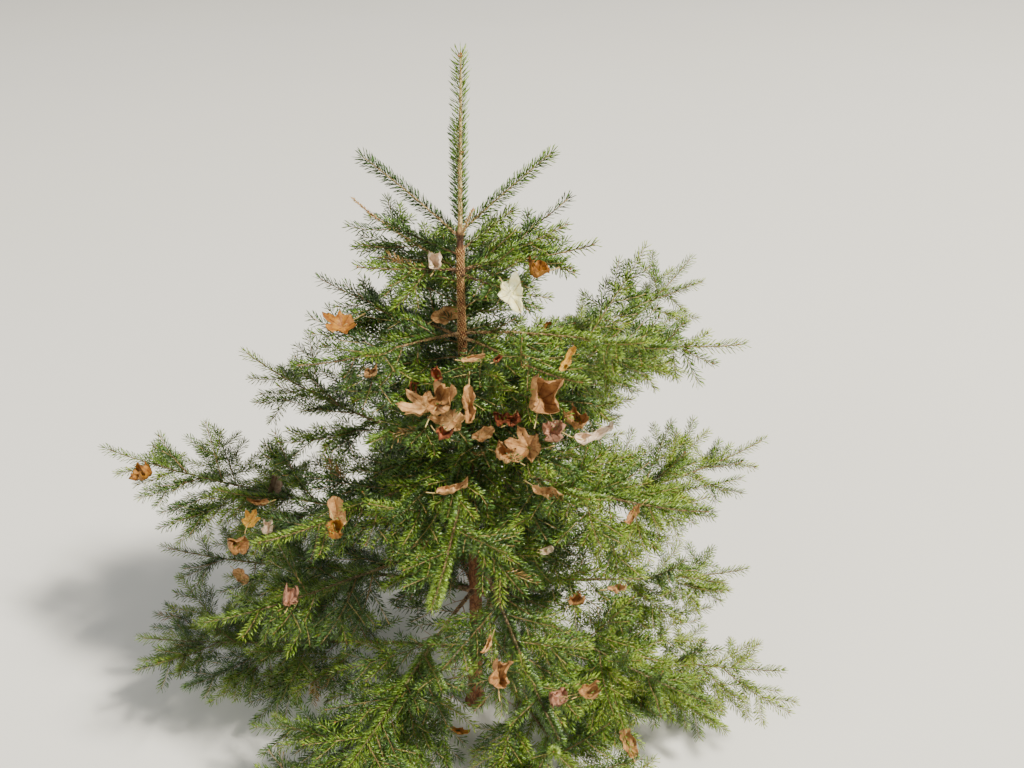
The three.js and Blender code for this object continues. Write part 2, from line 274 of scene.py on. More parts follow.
def side_shoots(points, length, bare, keys):
    """The side shoots that the solids have, as (path, reach, share of the bough where it stands)."""
    first = bare + TWIG_START
    last = 1 - min(LAST_SHOOT / length, LAST_SHARE)
    spaces = max(SPACES_LEAST, math.floor(length * (last - bare) / TWIG_SPACING + 0.5))
    shoots = []
    for i in range(spaces + 2):
        place = (i + TWIG_JITTER * chance(*keys, i, 1)) / (spaces + TWIG_JITTER)
        share = lerp(first, last, min(1, place))
        grown = TWIG_SHARE * length * (1 - share) + TWIG_LEAST
        reach = min(grown * drawn(TWIG_UNEVEN, *keys, i, 2), TWIG_MOST)
        point, way = along(points, share)
        angle = TWIG_ANGLE + TWIG_ANGLE_SPREAD * drawn(EITHER_WAY, *keys, i, 3)
        turn = math.radians(angle if i % 2 else -angle)
        tilts = (drawn(TWIG_HANG, *keys, i, 4), -TWIG_LIFT)
        shoots.append((shoot_path(point, way, turn, tilts, reach, TWIG_STEPS), reach, share))
    return shoots


class Shoot(NamedTuple):
    """A twig and what grows on it."""

    path: np.ndarray
    reach: float
    foot: float  # radius at its foot
    order: int  # 0 for a bough, 1 for its side shoots, and so on
    keys: tuple  # what its chances are drawn from
    bare: float = 0.0  # share of it that has no needles


def offshoot(parent, share, turn, tilts, reach, foot, keys, order=1, steps=TWIG_STEPS):
    """A shoot that stands at a share of its parent."""
    point, way = along(parent.path, share)
    return Shoot(shoot_path(point, way, turn, tilts, reach, steps), reach, foot, order, keys)


def kept_part(tree, path):
    """The share of a side shoot that its solid has, or 0 where it was left out."""
    for part in SHORTER:
        tip = along(path, part)[0]
        if tree.find_nearest(Vector(tip * MM), KEPT_WITHIN * MM)[0] is not None:
            return part
    return 0


def solid_tree(node):
    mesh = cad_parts[node].data
    return BVHTree.FromPolygons([v.co for v in mesh.vertices], [tuple(p.vertices) for p in mesh.polygons])


def between_shoots(stem, sides):
    """Weaker shoots between the side shoots, some of them hanging."""
    found = []
    for i, (_, reach, share) in enumerate(sides[:-1]):
        gap = sides[i + 1][2] - share
        count = max(1, round(gap * stem.reach / BETWEEN_SPACING) - 1)
        for k in range(count):
            keys = (*stem.keys, 40 + i, k)
            place = (k + BETWEEN_FIRST + BETWEEN_JITTER * chance(*keys, 1)) / (count + BETWEEN_ROOM)
            spot = share + gap * place
            size = drawn(BETWEEN_SHARE, *keys, 2) * (LOWEST_LONGER if stem.keys[0] == 0 else 1)
            here = max(BETWEEN_LEAST, min(reach * size, BETWEEN_MOST))
            hang = drawn(BETWEEN_HANG, *keys, 4)
            kind = chance(*keys, 5)
            if stem.keys[0] < HANGING_WHORLS and kind < RISING:
                hang = drawn(HANGING_TILT if kind < HANGING else RISING_TILT, *keys, 6)
                here = min(here, along(stem.path, spot)[0][2] - GROUND_CLEAR)
            turn = swing(BETWEEN_ANGLE, i + k, *keys, 3)
            foot = max(TIP_RADIUS, BETWEEN_FOOT * stem.foot)
            found.append(offshoot(stem, spot, turn, (hang, hang - 2 * TWIG_LIFT), here, foot, keys))
    return found


def inner_shoots(stem):
    """Small shoots on the part of a bough that the solids leave bare."""
    found = []
    if stem.keys[0] == SHADED_WHORL:
        return found
    end = stem.bare * stem.reach
    for n in range(int((end - INNER_START) / INNER_SPACING) + 1):
        keys = (*stem.keys, 45, n)
        spot = INNER_START + INNER_SPACING * (n + SPOT_JITTER * chance(*keys, 1))
        turn = swing(INNER_ANGLE, n, *keys, 2)
        tilt = drawn(INNER_TILT, *keys, 3)
        reach = lerp(*INNER_REACH, chance(*keys, 4) * min(1, INNER_SHORT + spot / end))
        found.append(offshoot(stem, spot / stem.reach, turn, (tilt, tilt), reach, INNER_FOOT, keys))
    return found


def front_shoots(stem):
    """The strong shoots of a bough that the picture shows low down."""
    found = []
    for n, (tier, place, share, angle, hang, reach) in enumerate(FRONT_SHOOTS):
        if (tier, place) == stem.keys:
            tilts = (hang, hang - 2 * TWIG_LIFT)
            keys = (tier, place, 46, n)
            found.append(offshoot(stem, share, math.radians(angle), tilts, reach, FRONT_FOOT, keys))
    return found


def trunk_shoots():
    """Small shoots straight from the trunk, between its whorls."""
    found = []
    low, high = TRUNK_SHOOTS
    for n in range(int((high - low) / TRUNK_SHOOT_SPACING)):
        keys = (95, n)
        z = low + TRUNK_SHOOT_SPACING * (n + SPOT_JITTER * chance(*keys, 1))
        heading = GOLDEN_TURN * n
        if z > TRUNK_OPEN and math.cos(heading - OPEN_HEADING) > math.cos(OPEN_SPREAD):
            continue
        tilt = -drawn(TRUNK_SHOOT_RISE, *keys, 2)
        reach = drawn(TRUNK_SHOOT_REACH, *keys, 3) * (1 if z < TRUNK_OPEN else HIGH_SHORTER)
        way = towards(heading, 0)
        point = trunk_axis(z) + way * (trunk_radius(z) - TRUNK_SHOOT_SUNK)
        path = shoot_path(point, way, 0, (tilt, TRUNK_SHOOT_BEND * tilt), reach, TWIG_STEPS)
        found.append(Shoot(path, reach, TRUNK_SHOOT_FOOT, 1, keys))
    return found


def twiglets(parent):
    """A shoot's twiglets: a pair at each year's joint, and a small one here and there between."""
    found = []
    back = PAIR_FIRST * drawn(TWIG_UNEVEN, *parent.keys, 50)
    year = 0
    while back < parent.reach - PAIR_LEAST:
        spacing = drawn(PAIR_SPACING, *parent.keys, 51, year)
        spots = [(1, back - PAIR_OFFSET, True), (-1, back + PAIR_OFFSET, True)]
        if chance(*parent.keys, 52, year) < LONE_CHANCE:
            spots.append((1 if year % 2 else -1, back + spacing / 2, False))
        for n, (side, spot, paired) in enumerate(spots):
            keys = (*parent.keys, 60 + year, n)
            grown = PAIR_SHARE * spot + PAIR_LEAST if paired else drawn(LONE_REACH, *keys, 1)
            reach = min(grown * drawn(PAIR_UNEVEN, *keys, 2), PAIR_MOST)
            turn = side * math.radians(drawn(PAIR_ANGLE, *keys, 3))
            hang = drawn(PAIR_HANG, *keys, 4)
            tilts = (hang, hang - TWIG_LIFT)
            foot = max(FINE_THINNEST, FINE_THINNER * parent.foot)
            found.append(offshoot(parent, 1 - spot / parent.reach, turn, tilts, reach, foot, keys,
                                  parent.order + 1, FINE_STEPS))
        back += spacing
        year += 1
    return found


def pictured(points):
    """Where points show in the picture, in pixels."""
    right, up, ahead = picture_axes()
    off = points - np.array(CAMERA) / MM
    far = off @ ahead / LENS_PIXELS
    return np.stack([IMAGE_WIDTH / 2 + off @ right / far, IMAGE_HEIGHT / 2 - off @ up / far], 1)


def in_front_of_trunk(points):
    """Which points hide the trunk in a place where the picture shows it."""
    seen = pictured(points)
    hidden = np.zeros(len(points), bool)
    for low, high in TRUNK_SHOWS:
        hidden |= ((seen > low) & (seen < high)).all(1)
    return hidden & (points[:, 1] < -TRUNK_RADIUS / 2)


def kept_clear(shoots):
    """Shoots without those that hide the trunk where it shows."""
    return [s for s in shoots if not in_front_of_trunk(stretch(s.path, 0, 1, CLEAR_STEPS)).any()]


def branched(shoots):
    """Shoots, their twiglets and the twiglets of those."""
    kept = kept_clear(shoots)
    fine = kept_clear([twiglet for shoot in kept for twiglet in twiglets(shoot)])
    finest = kept_clear([twiglet for shoot in fine for twiglet in twiglets(shoot)])
    return [*kept, *fine, *finest]


def grow_mass(tier, place):
    """All the shoots of one bough, its stem first."""
    whorl = WHORLS[tier]
    bough = whorl.boughs[place]
    length = bough[1]
    path = bough_path(bough, whorl.height + (WHORL_SPREAD if place % 2 else -WHORL_SPREAD))
    stem = Shoot(path, length, whorl.foot, 0, (tier, place), whorl.bare)
    if not whorl.twigs:
        return [stem]
    tree = solid_tree(f"foliage_tier{tier + 1}_{place + 1}")
    sides = side_shoots(path, length, whorl.bare, stem.keys)
    grown = []
    for i, (line, reach, share) in enumerate(sides):
        part = kept_part(tree, line)
        if part:
            foot = max(TIP_RADIUS, FINE_FOOT * lerp(whorl.foot, TIP_RADIUS, share**THINNING))
            kept = stretch(line, 0, part, TWIG_STEPS)
            grown.append(Shoot(kept, reach * part, foot, 1, (tier, place, i)))
    grown += between_shoots(stem, sides) + inner_shoots(stem) + front_shoots(stem)
    return [stem, *branched(grown)]


# Meshes from arrays
UPRIGHT = 0.95  # a direction that rises more than this counts as upright


def array_object(name, corners, faces, material):
    """An object of smooth triangles from arrays in millimetres."""
    mesh = bpy.data.meshes.new(name)
    mesh.vertices.add(len(corners))
    mesh.vertices.foreach_set("co", (corners * MM).astype(np.float32).ravel())
    mesh.loops.add(faces.size)
    mesh.loops.foreach_set("vertex_index", faces.astype(np.int32).ravel())
    mesh.polygons.add(len(faces))
    mesh.polygons.foreach_set("loop_start", np.arange(0, faces.size, 3, dtype=np.int32))
    mesh.polygons.foreach_set("use_smooth", np.ones(len(faces), dtype=bool))
    mesh.update(calc_edges=True)
    return placed(name, mesh, material)


def linked(name, data):
    """A new object in the scene."""
    made = bpy.data.objects.new(name, data)
    bpy.context.scene.collection.objects.link(made)
    return made


def placed(name, mesh, material):
    mesh.materials.append(material)
    return linked(name, mesh)


def unit(ways):
    """Directions of length 1."""
    return ways / np.linalg.norm(ways, axis=-1, keepdims=True)


def across(ways):
    """Two directions across each direction: a level one, and one in the upright plane."""
    up = np.where(np.abs(ways[:, 2:3]) > UPRIGHT, [[1.0, 0, 0]], [[0, 0, 1.0]])
    side = unit(np.cross(ways, up))
    return side, np.cross(side, ways)


def rolled(ways, turn, half=1):
    """A direction across each direction, at a turn from its level one."""
    side, over = across(ways)
    return side * (half * np.cos(turn))[:, None] + over * np.sin(turn)[:, None]


def directions(points):
    return unit(np.gradient(points, axis=0))


def tube_arrays(points, radii, sides):
    """Corners and triangles of a closed, tapering tube along a path."""
    side, over = across(directions(points))
    angles = np.linspace(0, 2 * np.pi, sides, endpoint=False)[None, :, None]
    ring = np.cos(angles) * side[:, None] + np.sin(angles) * over[:, None]
    corners = (points[:, None] + ring * np.asarray(radii)[:, None, None]).reshape(-1, 3)
    rows = len(points)
    row, k = np.meshgrid(np.arange(rows - 1), np.arange(sides), indexing="ij")
    a = (row * sides + k).ravel()
    b = (row * sides + (k + 1) % sides).ravel()
    k = np.arange(sides)
    after = (k + 1) % sides
    last = (rows - 1) * sides
    faces = np.concatenate([
        np.stack([a, b, a + sides], 1),
        np.stack([b, b + sides, a + sides], 1),
        np.stack([np.full(sides, rows * sides), after, k], 1),
        np.stack([np.full(sides, rows * sides + 1), last + k, last + after], 1),
    ])
    return np.concatenate([corners, points[:1], points[-1:]]), faces


def copies(shape, faces, spots, ways, sizes, spin):
    """Copies of a small shape that stands along +Z, turned to ways, scaled to sizes and set at spots."""
    turned = rolled(ways, spin)
    other = np.cross(ways, turned)
    axes = np.stack([turned * sizes[:, :1], other * sizes[:, 1:2], ways * sizes[:, 2:3]], 1)
    corners = spots[:, None] + np.einsum("kc,ncd->nkd", shape, axes)
    starts = len(shape) * np.arange(len(spots))
    return corners.reshape(-1, 3), (faces[None] + starts[:, None, None]).reshape(-1, 3)


def joined(parts):
    """Many (corners, faces) pairs as one."""
    starts = np.cumsum([0] + [len(corners) for corners, _ in parts[:-1]])
    faces = np.concatenate([faces + start for (_, faces), start in zip(parts, starts)])
    return np.concatenate([corners for corners, _ in parts]), faces


def spindle(height, radius, sides):
    """A small closed shape from its foot at 0 to its tip at 1 along +Z, with one ring between."""
    angles = np.linspace(0, 2 * np.pi, sides, endpoint=False)
    ring = np.stack([radius * np.cos(angles), radius * np.sin(angles), np.full(sides, height)], 1)
    k = 1 + np.arange(sides)
    after = np.roll(k, -1)
    low = np.stack([np.zeros(sides, int), after, k], 1)
    high = np.stack([np.full(sides, sides + 1), k, after], 1)
    return np.concatenate([[[0, 0, 0]], ring, [[0, 0, 1]]]), np.concatenate([low, high])


# Needles
NEEDLE_LENGTH = 14.5
NEEDLE_WIDTH = (2.6, 1.65)  # near the trunk, where they stand wider apart, and at the outside of the crown
NEEDLE_SPACING = (1.3, 0.67)  # likewise
TOP_LONGER = 1.12  # needles at the top of the tree are this much longer
NEEDLE_EDGES = (0.22, 0.8)  # shares of a needle's length at which its right and left edge stand out
NEEDLE_BOW = 0.05  # and how far they stand back, as a share of its length
NEEDLE_KEEL = 0.5  # a needle's depth, as a share of its width
STEM_APART = (1.1, 0.4)  # factor on that spacing on a bough's own stem: at the far side, and at the near
NEEDLES_MOST = 49000  # in one piece
CROWN_REACH = 430  # distance from the trunk that counts as the outside
ROLL = (-52, 90)  # where needles stand round a level shoot: 0 is level and 90 is on top
ROLL_CROWD = 1.05  # power that crowds them towards the lower end of that
STEEP = (18, 60)  # a shoot that rises or hangs between these has needles more and more all round
LEAN = (64, 36)  # between a needle and its shoot, for one below and one on top
LEAN_SPREAD = 4
NEEDLE_SUNK = 0.7  # share of its shoot's radius at which a needle's foot lies
NEEDLE_UNEVEN = (0.86, 1.08)
WIDTH_UNEVEN = (0.85, 1.15)
TIP_STRETCH = 8  # needles this near a shoot's tip lean less and are shorter, down to these factors,
TIP_LEAN, TIP_SIZE = 0.5, 0.8
FOOT_STRETCH = 10  # and those this near its foot are shorter, down to this factor
FOOT_SIZE = 0.7
LEADER_LEAN = (56, 38)
LEADER_SPACING = 0.52
LEADER_LONGER = 1.12
LONE_WHORLS = (6, 7)  # whorls whose boughs have no side shoots
LONE_LEAN = (58, 44)
LONE_SPACING = 0.4
LONE_ROUND = 0.85
KNOBBLY = ((7, 2), (5, 0))  # whorl and place of two boughs near the top that have dropped their needles
GOLDEN_SHARE = 0.618034
TONES = {
    "tip": (0.38, 0.50, 0.05),
    "fresh": (0.24, 0.37, 0.03),
    "leafy": (0.145, 0.262, 0.02),
    "mid": (0.077, 0.168, 0.016),
    "deep": (0.032, 0.082, 0.012),
    "bluish": (0.072, 0.165, 0.034),
    "dry": (0.32, 0.18, 0.05),
}
LADDER = ["deep", "mid", "leafy", "fresh", "tip"]
# Steps up that ladder: for any shoot, for each order, by chance, at a shoot's tip and for each needle
TONE_START, TONE_ORDER, TONE_SPREAD, TONE_TIP, TONE_LOOSE = -0.55, 0.25, 2.6, 0.8, 0.6
PAINTED_SUN_STEPS = 0.9  # painted sunlight: further steps up the ladder at the right edge of the crown, the side that the key light comes from
PAINTED_SHADE_SHARE = -0.1  # share of them that is left at its left side, where they darken as painted shade away from the light
LEADER_LIGHTER = 1.5  # steps from the leader's foot to its tip
BLUISH_ABOVE = 0.6  # chances above which a shoot's middle tone is bluish,
DRY_ABOVE = 0.93  # and its deepest tone is dry
DRY_MOST = 70  # a dry shoot is no longer than this
rng = np.random.default_rng(SEED)


def needles_on(shoot, spacing, leans=LEAN, round_it=0.0, longer=1.0):
    """A shoot's needles: feet, directions, ways back, lengths, widths and shares of the shoot.

    They stand all round it where round_it is 1.
    """
    count = max(3, int(shoot.reach * (1 - shoot.bare) / spacing))
    number = np.arange(count)
    share = shoot.bare + (1 - shoot.bare) * (number + rng.uniform(0, 1, count)) / count
    t = share * (len(shoot.path) - 1)
    i = np.minimum(t.astype(int), len(shoot.path) - 2)
    step = shoot.path[i + 1] - shoot.path[i]
    way = unit(step)
    wound = (GOLDEN_SHARE * number + chance(*shoot.keys, 35)) % 1
    half = np.where(wound < 0.5, -1.0, 1.0)
    slope = np.degrees(np.arcsin(np.clip(np.abs(way[:, 2]), 0, 1)))
    around = np.clip((slope - STEEP[0]) / (STEEP[1] - STEEP[0]), round_it, 1)
    low = lerp(ROLL[0], -90, around)
    roll = low + (ROLL[1] - low) * (2 * wound % 1) ** lerp(ROLL_CROWD, 1, around)
    lean = lerp(*leans, (roll + 90) / 180) + rng.normal(0, LEAN_SPREAD, count)
    from_tip = (1 - share) * shoot.reach / TIP_STRETCH
    from_foot = (share - shoot.bare) * shoot.reach / FOOT_STRETCH
    lean = np.radians(lean * lerp(TIP_LEAN, 1, np.clip(from_tip, 0, 1)))
    out = rolled(way, np.radians(roll), half)
    ways = way * np.cos(lean)[:, None] + out * np.sin(lean)[:, None]
    radius = lerp(shoot.foot, TIP_RADIUS, share**THINNING)
    foot = shoot.path[i] + step * (t - i)[:, None] + out * (NEEDLE_SUNK * radius)[:, None]
    size = longer * NEEDLE_LENGTH * rng.uniform(*NEEDLE_UNEVEN, count)
    size *= lerp(1, TOP_LONGER, (foot[:, 2] / HEIGHT) ** 2)
    size *= lerp(TIP_SIZE, 1, np.clip(from_tip, round_it, 1))
    size *= lerp(FOOT_SIZE, 1, np.clip(from_foot, 0, 1))
    width = lerp(*NEEDLE_WIDTH, outward(shoot)) * rng.uniform(*WIDTH_UNEVEN, count)
    return foot, ways, -way, size, width, share


def needle_arrays(foot, ways, back, size, width):
    """Slim keeled needles of four faces, pointed at both ends and bowed a little."""
    edge = NEEDLE_KEEL / 2
    shape = np.array([[0, 0, 0], [-0.5, edge, NEEDLE_EDGES[1]], [0.5, edge, NEEDLE_EDGES[0]], [0, 0, 1.0]])
    faces = np.array([[0, 1, 2], [3, 2, 1], [0, 3, 1], [0, 2, 3]])
    sizes = np.stack([width, width, size], 1)
    spin = rng.uniform(0, 2 * np.pi, len(foot))
    made, faces = copies(shape, faces, foot, ways, sizes, spin)
    made = made.reshape(len(foot), len(shape), 3)
    made[:, 1:3] += (back * (NEEDLE_BOW * size)[:, None])[:, None]
    return made.reshape(-1, 3), faces


def outward(shoot):
    """0 for a shoot at the trunk, 1 for one that ends at the outside or the top of the crown."""
    tip = shoot.path[-1]
    return min(1, max(float(np.hypot(tip[0], tip[1])) / CROWN_REACH, (tip[2] / HEIGHT) ** 2))


def tone_of(shoot, share):
    """For each needle of a shoot, its place on the ladder of tones."""
    # Shoots at the outside and the top of the crown are lighter. This is partly the real colour of young
    # growth and partly painted light. Shoots deep inside the crown are darker, as painted shade.
    level = TONE_ORDER * shoot.order + TONE_START + outward(shoot) + TONE_SPREAD * chance(*shoot.keys, 31)
    # Painted light: needles get lighter towards the right side of the crown, where the key light falls, and
    # a little darker at the left side as painted shade.
    level += PAINTED_SUN_STEPS * max(PAINTED_SHADE_SHARE, shoot.path[-1][0] / CROWN_REACH)
    level = level + TONE_TIP * share**3 + rng.uniform(-TONE_LOOSE, TONE_LOOSE, len(share))
    return np.clip(level.astype(int), 0, len(LADDER) - 1)


def deal(sprays, shoot, made, level):
    """Adds a shoot's needles to the sprays of their tones."""
    *parts, _ = made
    for k, tone in enumerate(LADDER):
        if tone == "mid" and chance(*shoot.keys, 33) > BLUISH_ABOVE:
            tone = "bluish"
        if tone == "deep" and shoot.reach < DRY_MOST and chance(*shoot.keys, 34) > DRY_ABOVE:
            tone = "dry"
        chosen = level == k
        sprays[tone].append([part[chosen] for part in parts])


def leader_shoot():
    heights = np.linspace(LEADER_NEEDLES, HEIGHT - BUD, STEPS + 1)
    path = np.array([trunk_axis(z) for z in heights])
    return Shoot(path, HEIGHT - BUD - LEADER_NEEDLES, trunk_radius(LEADER_NEEDLES), 0, (90,))


def needle_pieces(crown, materials):
    """The needles of every shoot, joined by tone."""
    sprays = {tone: [] for tone in TONES}
    thin = 1
    for shoot in crown:
        if shoot.keys in KNOBBLY:
            continue
        if shoot.keys[0] in LONE_WHORLS:
            made = needles_on(shoot, LONE_SPACING * thin, LONE_LEAN, LONE_ROUND)
        else:
            spacing = thin * lerp(*NEEDLE_SPACING, outward(shoot))
            if shoot.reach > TWIG_MOST:
                spacing *= lerp(*STEM_APART, max(0, shoot.path[0][1] - shoot.path[-1][1]) / shoot.reach)
            made = needles_on(shoot, spacing)
        deal(sprays, shoot, made, tone_of(shoot, made[-1]))
    leader = leader_shoot()
    made = needles_on(leader, LEADER_SPACING * thin, LEADER_LEAN, 1.0, LEADER_LONGER)
    level = 1 + (rng.uniform(0, 1, len(made[-1])) + made[-1] * LEADER_LIGHTER).astype(int)
    deal(sprays, leader, made, level)
    pieces = []
    for tone, batches in sprays.items():
        dealt = [np.concatenate(part) for part in zip(*batches)]
        count = len(dealt[0])
        parts = math.ceil(count / NEEDLES_MOST)
        for k in range(parts):
            run = slice(k * count // parts, (k + 1) * count // parts)
            corners, faces = needle_arrays(*(part[run] for part in dealt))
            pieces.append(array_object(f"needles_{tone}_{k + 1}", corners, faces, materials[tone]))
    return pieces


# Wood
TRUNK_SIDES = 40
TRUNK_STEP = 2.5
LIMB_SIDES = 8
LIMB_STEP = 6
COLLAR = 1.7  # a bough's extra radius at its foot
COLLAR_LENGTH = 7
WHORL_SWELL = 1.5
WHORL_SWELL_HEIGHT = 6
TRUNK_SMOOTHER = 0.9  # how much less scaly the trunk is at the leader than at its foot
LIMB_ROWS_LEAST = 8
LIMB_END = 0.99  # share of a bough at which its wood ends, inside its bud
LIMB_TIP_RADIUS = 0.8 * TIP_RADIUS
LIMB_WORN = 0.35
SCALE_SIZE = 7
SCALE_SLIM = 0.55  # a scale's width, as a share of its height
SCALE_DEPTH = 0.55
SCALE_EDGE, SCALE_FLOOR = 3.2, 0.6  # steepness of its edges, and the depth of the cracks between
GRAIN_SIZE, GRAIN_DEPTH = 2.6, 0.22
FINER_GRAIN = 0.6  # of half that size
TWIG_SIDES = {1: 4, 2: 3, 3: 3}
TWIG_STEP = 18
TWIG_END = 0.985  # share of a twig at which its wood ends
TWIG_END_RADIUS = 0.45
SUNK = 5


def bark_relief(spot, worn):
    """How far bark stands proud at a spot: cracked scales where it is worn, fine grain elsewhere."""
    near = noise.voronoi(Vector((spot[0], spot[1], SCALE_SLIM * spot[2])) / SCALE_SIZE)[0]
    scale = min(1.0, (near[1] - near[0]) * SCALE_EDGE) - SCALE_FLOOR
    finer = noise.noise(Vector(spot) / (GRAIN_SIZE / 2))
    grain = noise.noise(Vector(spot) / GRAIN_SIZE) + FINER_GRAIN * finer
    return worn * SCALE_DEPTH * scale + GRAIN_DEPTH * grain


def rolled_bark(bm, points, radii, sides, worn):
    """Rolls a sheet of bark round a path, welds its seam and closes its ends."""
    rows = len(points) - 1
    sheet = bmesh.ops.create_grid(bm, x_segments=sides, y_segments=rows, size=0.5)["verts"]
    side, over = across(directions(points))
    for vert in sheet:
        row = round((vert.co.y + 0.5) * rows)
        turn = 2 * math.pi * (vert.co.x + 0.5)
        out = math.cos(turn) * side[row] + math.sin(turn) * over[row]
        spot = points[row] + out * radii[row]
        vert.co = Vector(spot + out * bark_relief(spot, worn[row]))
    bmesh.ops.remove_doubles(bm, verts=sheet, dist=0.01)
    rims = [edge for edge in bm.edges if edge.is_boundary]
    bmesh.ops.holes_fill(bm, edges=rims, sides=0)


def finished(name, bm, material):
    """An object in metres from a mesh in millimetres."""
    bmesh.ops.recalc_face_normals(bm, faces=bm.faces)
    bmesh.ops.scale(bm, vec=(MM, MM, MM), verts=bm.verts)
    for face in bm.faces:
        face.smooth = len(face.verts) == 4
    mesh = bpy.data.meshes.new(name)
    bm.to_mesh(mesh)
    bm.free()
    return placed(name, mesh, material)


def trunk_wood(z):
    """The trunk's radius, swollen at its whorls."""
    off = [(z - whorl.height) / WHORL_SWELL_HEIGHT for whorl in WHORLS]
    return trunk_radius(z) + sum(WHORL_SWELL * math.exp(-(far**2)) for far in off)


def trunk_piece(material):
    bm = bmesh.new()
    heights = np.linspace(0, HEIGHT - BUD, round((HEIGHT - BUD) / TRUNK_STEP) + 1)
    points = np.array([trunk_axis(z) for z in heights])
    swollen = LEADER_FOOT + WHORL_SWELL_HEIGHT
    radii = [trunk_wood(z) if z < swollen else trunk_radius(z) for z in heights]
    worn = [1 - TRUNK_SMOOTHER * min(1, z / LEADER_FOOT) for z in heights]
    rolled_bark(bm, points, radii, TRUNK_SIDES, worn)
    for vert in bm.verts:
        vert.co.z = max(vert.co.z, 0)
    return finished("trunk_bark", bm, material)


def limb_piece(stems, material):
    """The whole of each bough, from a collar at the trunk to its tip, and the broken ones."""
    bm = bmesh.new()
    for stem in stems:
        rows = max(LIMB_ROWS_LEAST, round(stem.reach / LIMB_STEP))
        inside = stem.path[0] - along(stem.path, 0)[1] * SUNK
        points = np.concatenate([[inside], stretch(stem.path, 0, LIMB_END, rows)])
        shares = np.concatenate([[0], np.linspace(0, LIMB_END, rows + 1)])
        collar = COLLAR * np.exp(-shares * stem.reach / COLLAR_LENGTH) * stem.foot / WHORLS[0].foot
        radii = lerp(stem.foot, LIMB_TIP_RADIUS, shares**THINNING) + collar
        rolled_bark(bm, points, radii, LIMB_SIDES, LIMB_WORN * (1 - shares))
    for height, heading, length, radius in STUBS:
        path = bough_path((heading, length + SUNK, *STUB_RISE, 0), height)
        points = path - (path[1] - path[0]) * SUNK * STEPS / (length + SUNK)
        radii = radius * np.linspace(*STUB_TAPER, len(points))
        rolled_bark(bm, points, radii, LIMB_SIDES, np.ones(len(points)))
    return finished("bough_bark", bm, material)


def twig_piece(name, shoots, material):
    parts = []
    for shoot in shoots:
        path = stretch(shoot.path, 0, TWIG_END, max(3, round(shoot.reach / TWIG_STEP)))
        radii = lerp(shoot.foot, TWIG_END_RADIUS, np.linspace(0, 1, len(path)) ** THINNING)
        parts.append(tube_arrays(path, radii, TWIG_SIDES[shoot.order]))
    return array_object(name, *joined(parts), material)


# Needle seats: the small pegs that needles leave on bark when they fall
SEAT_SPACING = 3.8
SEAT_SIZE = (1.4, 0.9, 3.8)
SEAT_UNEVEN = (0.75, 1.2)
SEAT_LEAN = math.radians(20)
SEAT_SUNK = 0.35
TRUNK_SEAT_SIZE = 1.3
KNOB_SIZE = 1.7
TRUNK_SEATS = np.linspace(360, 885, 100)  # heights at which the trunk has them
LIMB_SEATS = 20  # places along a bough that its seats are led through
SEATS_START = 0.02  # share of a bough
SEATS_LEAST, SEATS_PAST = 0.2, 0.1  # they end this far along a bough, or this far past its bare part
KNOBS_END = 0.97


def seats_along(points, radii, start):
    """Spots and directions of the pegs on a limb, wound round it in a spiral."""
    lengths = np.concatenate([[0], np.cumsum(np.linalg.norm(np.diff(points, axis=0), axis=1))])
    count = int(lengths[-1] * 2 * math.pi * np.mean(radii) / SEAT_SPACING**2)
    far = np.linspace(0, lengths[-1], count)
    spot = np.stack([np.interp(far, lengths, points[:, k]) for k in range(3)], 1)
    way = unit(np.stack([np.interp(far, lengths, directions(points)[:, k]) for k in range(3)], 1))
    out = rolled(way, start + GOLDEN_TURN * np.arange(count))
    foot = spot + out * (np.interp(far, lengths, radii) - SEAT_SUNK)[:, None]
    return foot, way * math.cos(SEAT_LEAN) + out * math.sin(SEAT_LEAN)


def seat_piece(stems, material):
    trunk = np.array([trunk_axis(z) for z in TRUNK_SEATS])
    found = [(*seats_along(trunk, [trunk_wood(z) for z in TRUNK_SEATS], 0), TRUNK_SEAT_SIZE)]
    for n, stem in enumerate(stems):
        knobbly = stem.keys in KNOBBLY
        end = KNOBS_END if knobbly else max(SEATS_LEAST, stem.bare + SEATS_PAST)
        shares = np.linspace(SEATS_START, end, LIMB_SEATS)
        points = stretch(stem.path, SEATS_START, end, LIMB_SEATS - 1)
        seats = seats_along(points, lerp(stem.foot, TIP_RADIUS, shares**THINNING), n)
        found.append((*seats, KNOB_SIZE if knobbly else 1))
    spots, ways = (np.concatenate([row[k] for row in found]) for k in range(2))
    larger = np.concatenate([np.full(len(row[0]), row[2]) for row in found])
    sizes = np.array(SEAT_SIZE) * (larger * rng.uniform(*SEAT_UNEVEN, len(spots)))[:, None]
    made = copies(*spindle(0.3, 0.5, 3), spots, ways, sizes, np.zeros(len(spots)))
    return array_object("needle_seats", *made, material)


# Buds
BUD_SIZE = (2.3, 2.3, 4.2)
BUD_UNEVEN = (0.75, 1.05)
FINE_BUD = 0.72  # size of a twiglet's bud, as a share of that
SIDE_BUD, SIDE_BUD_BACK, SIDE_BUD_OUT = 0.75, 2.5, 0.75  # two beside a bough's last: size, place and slant
TOP_BUDS, TOP_BUD, TOP_BUD_OUT, TOP_BUD_SUNK = 5, 1.15, 1.6, 2  # those round the leader's last bud
TOP_BUD_RISE, LEADER_BUD_RISE = math.radians(58), math.radians(40)
LAST_BUD = 1.5
LEADER_BUD_TURN, LEADER_BUD_SUNK = 1.2, 0.4
LEADER_BUD_HEIGHTS = (962, 991, 1018, 1052, 1083, 1108)


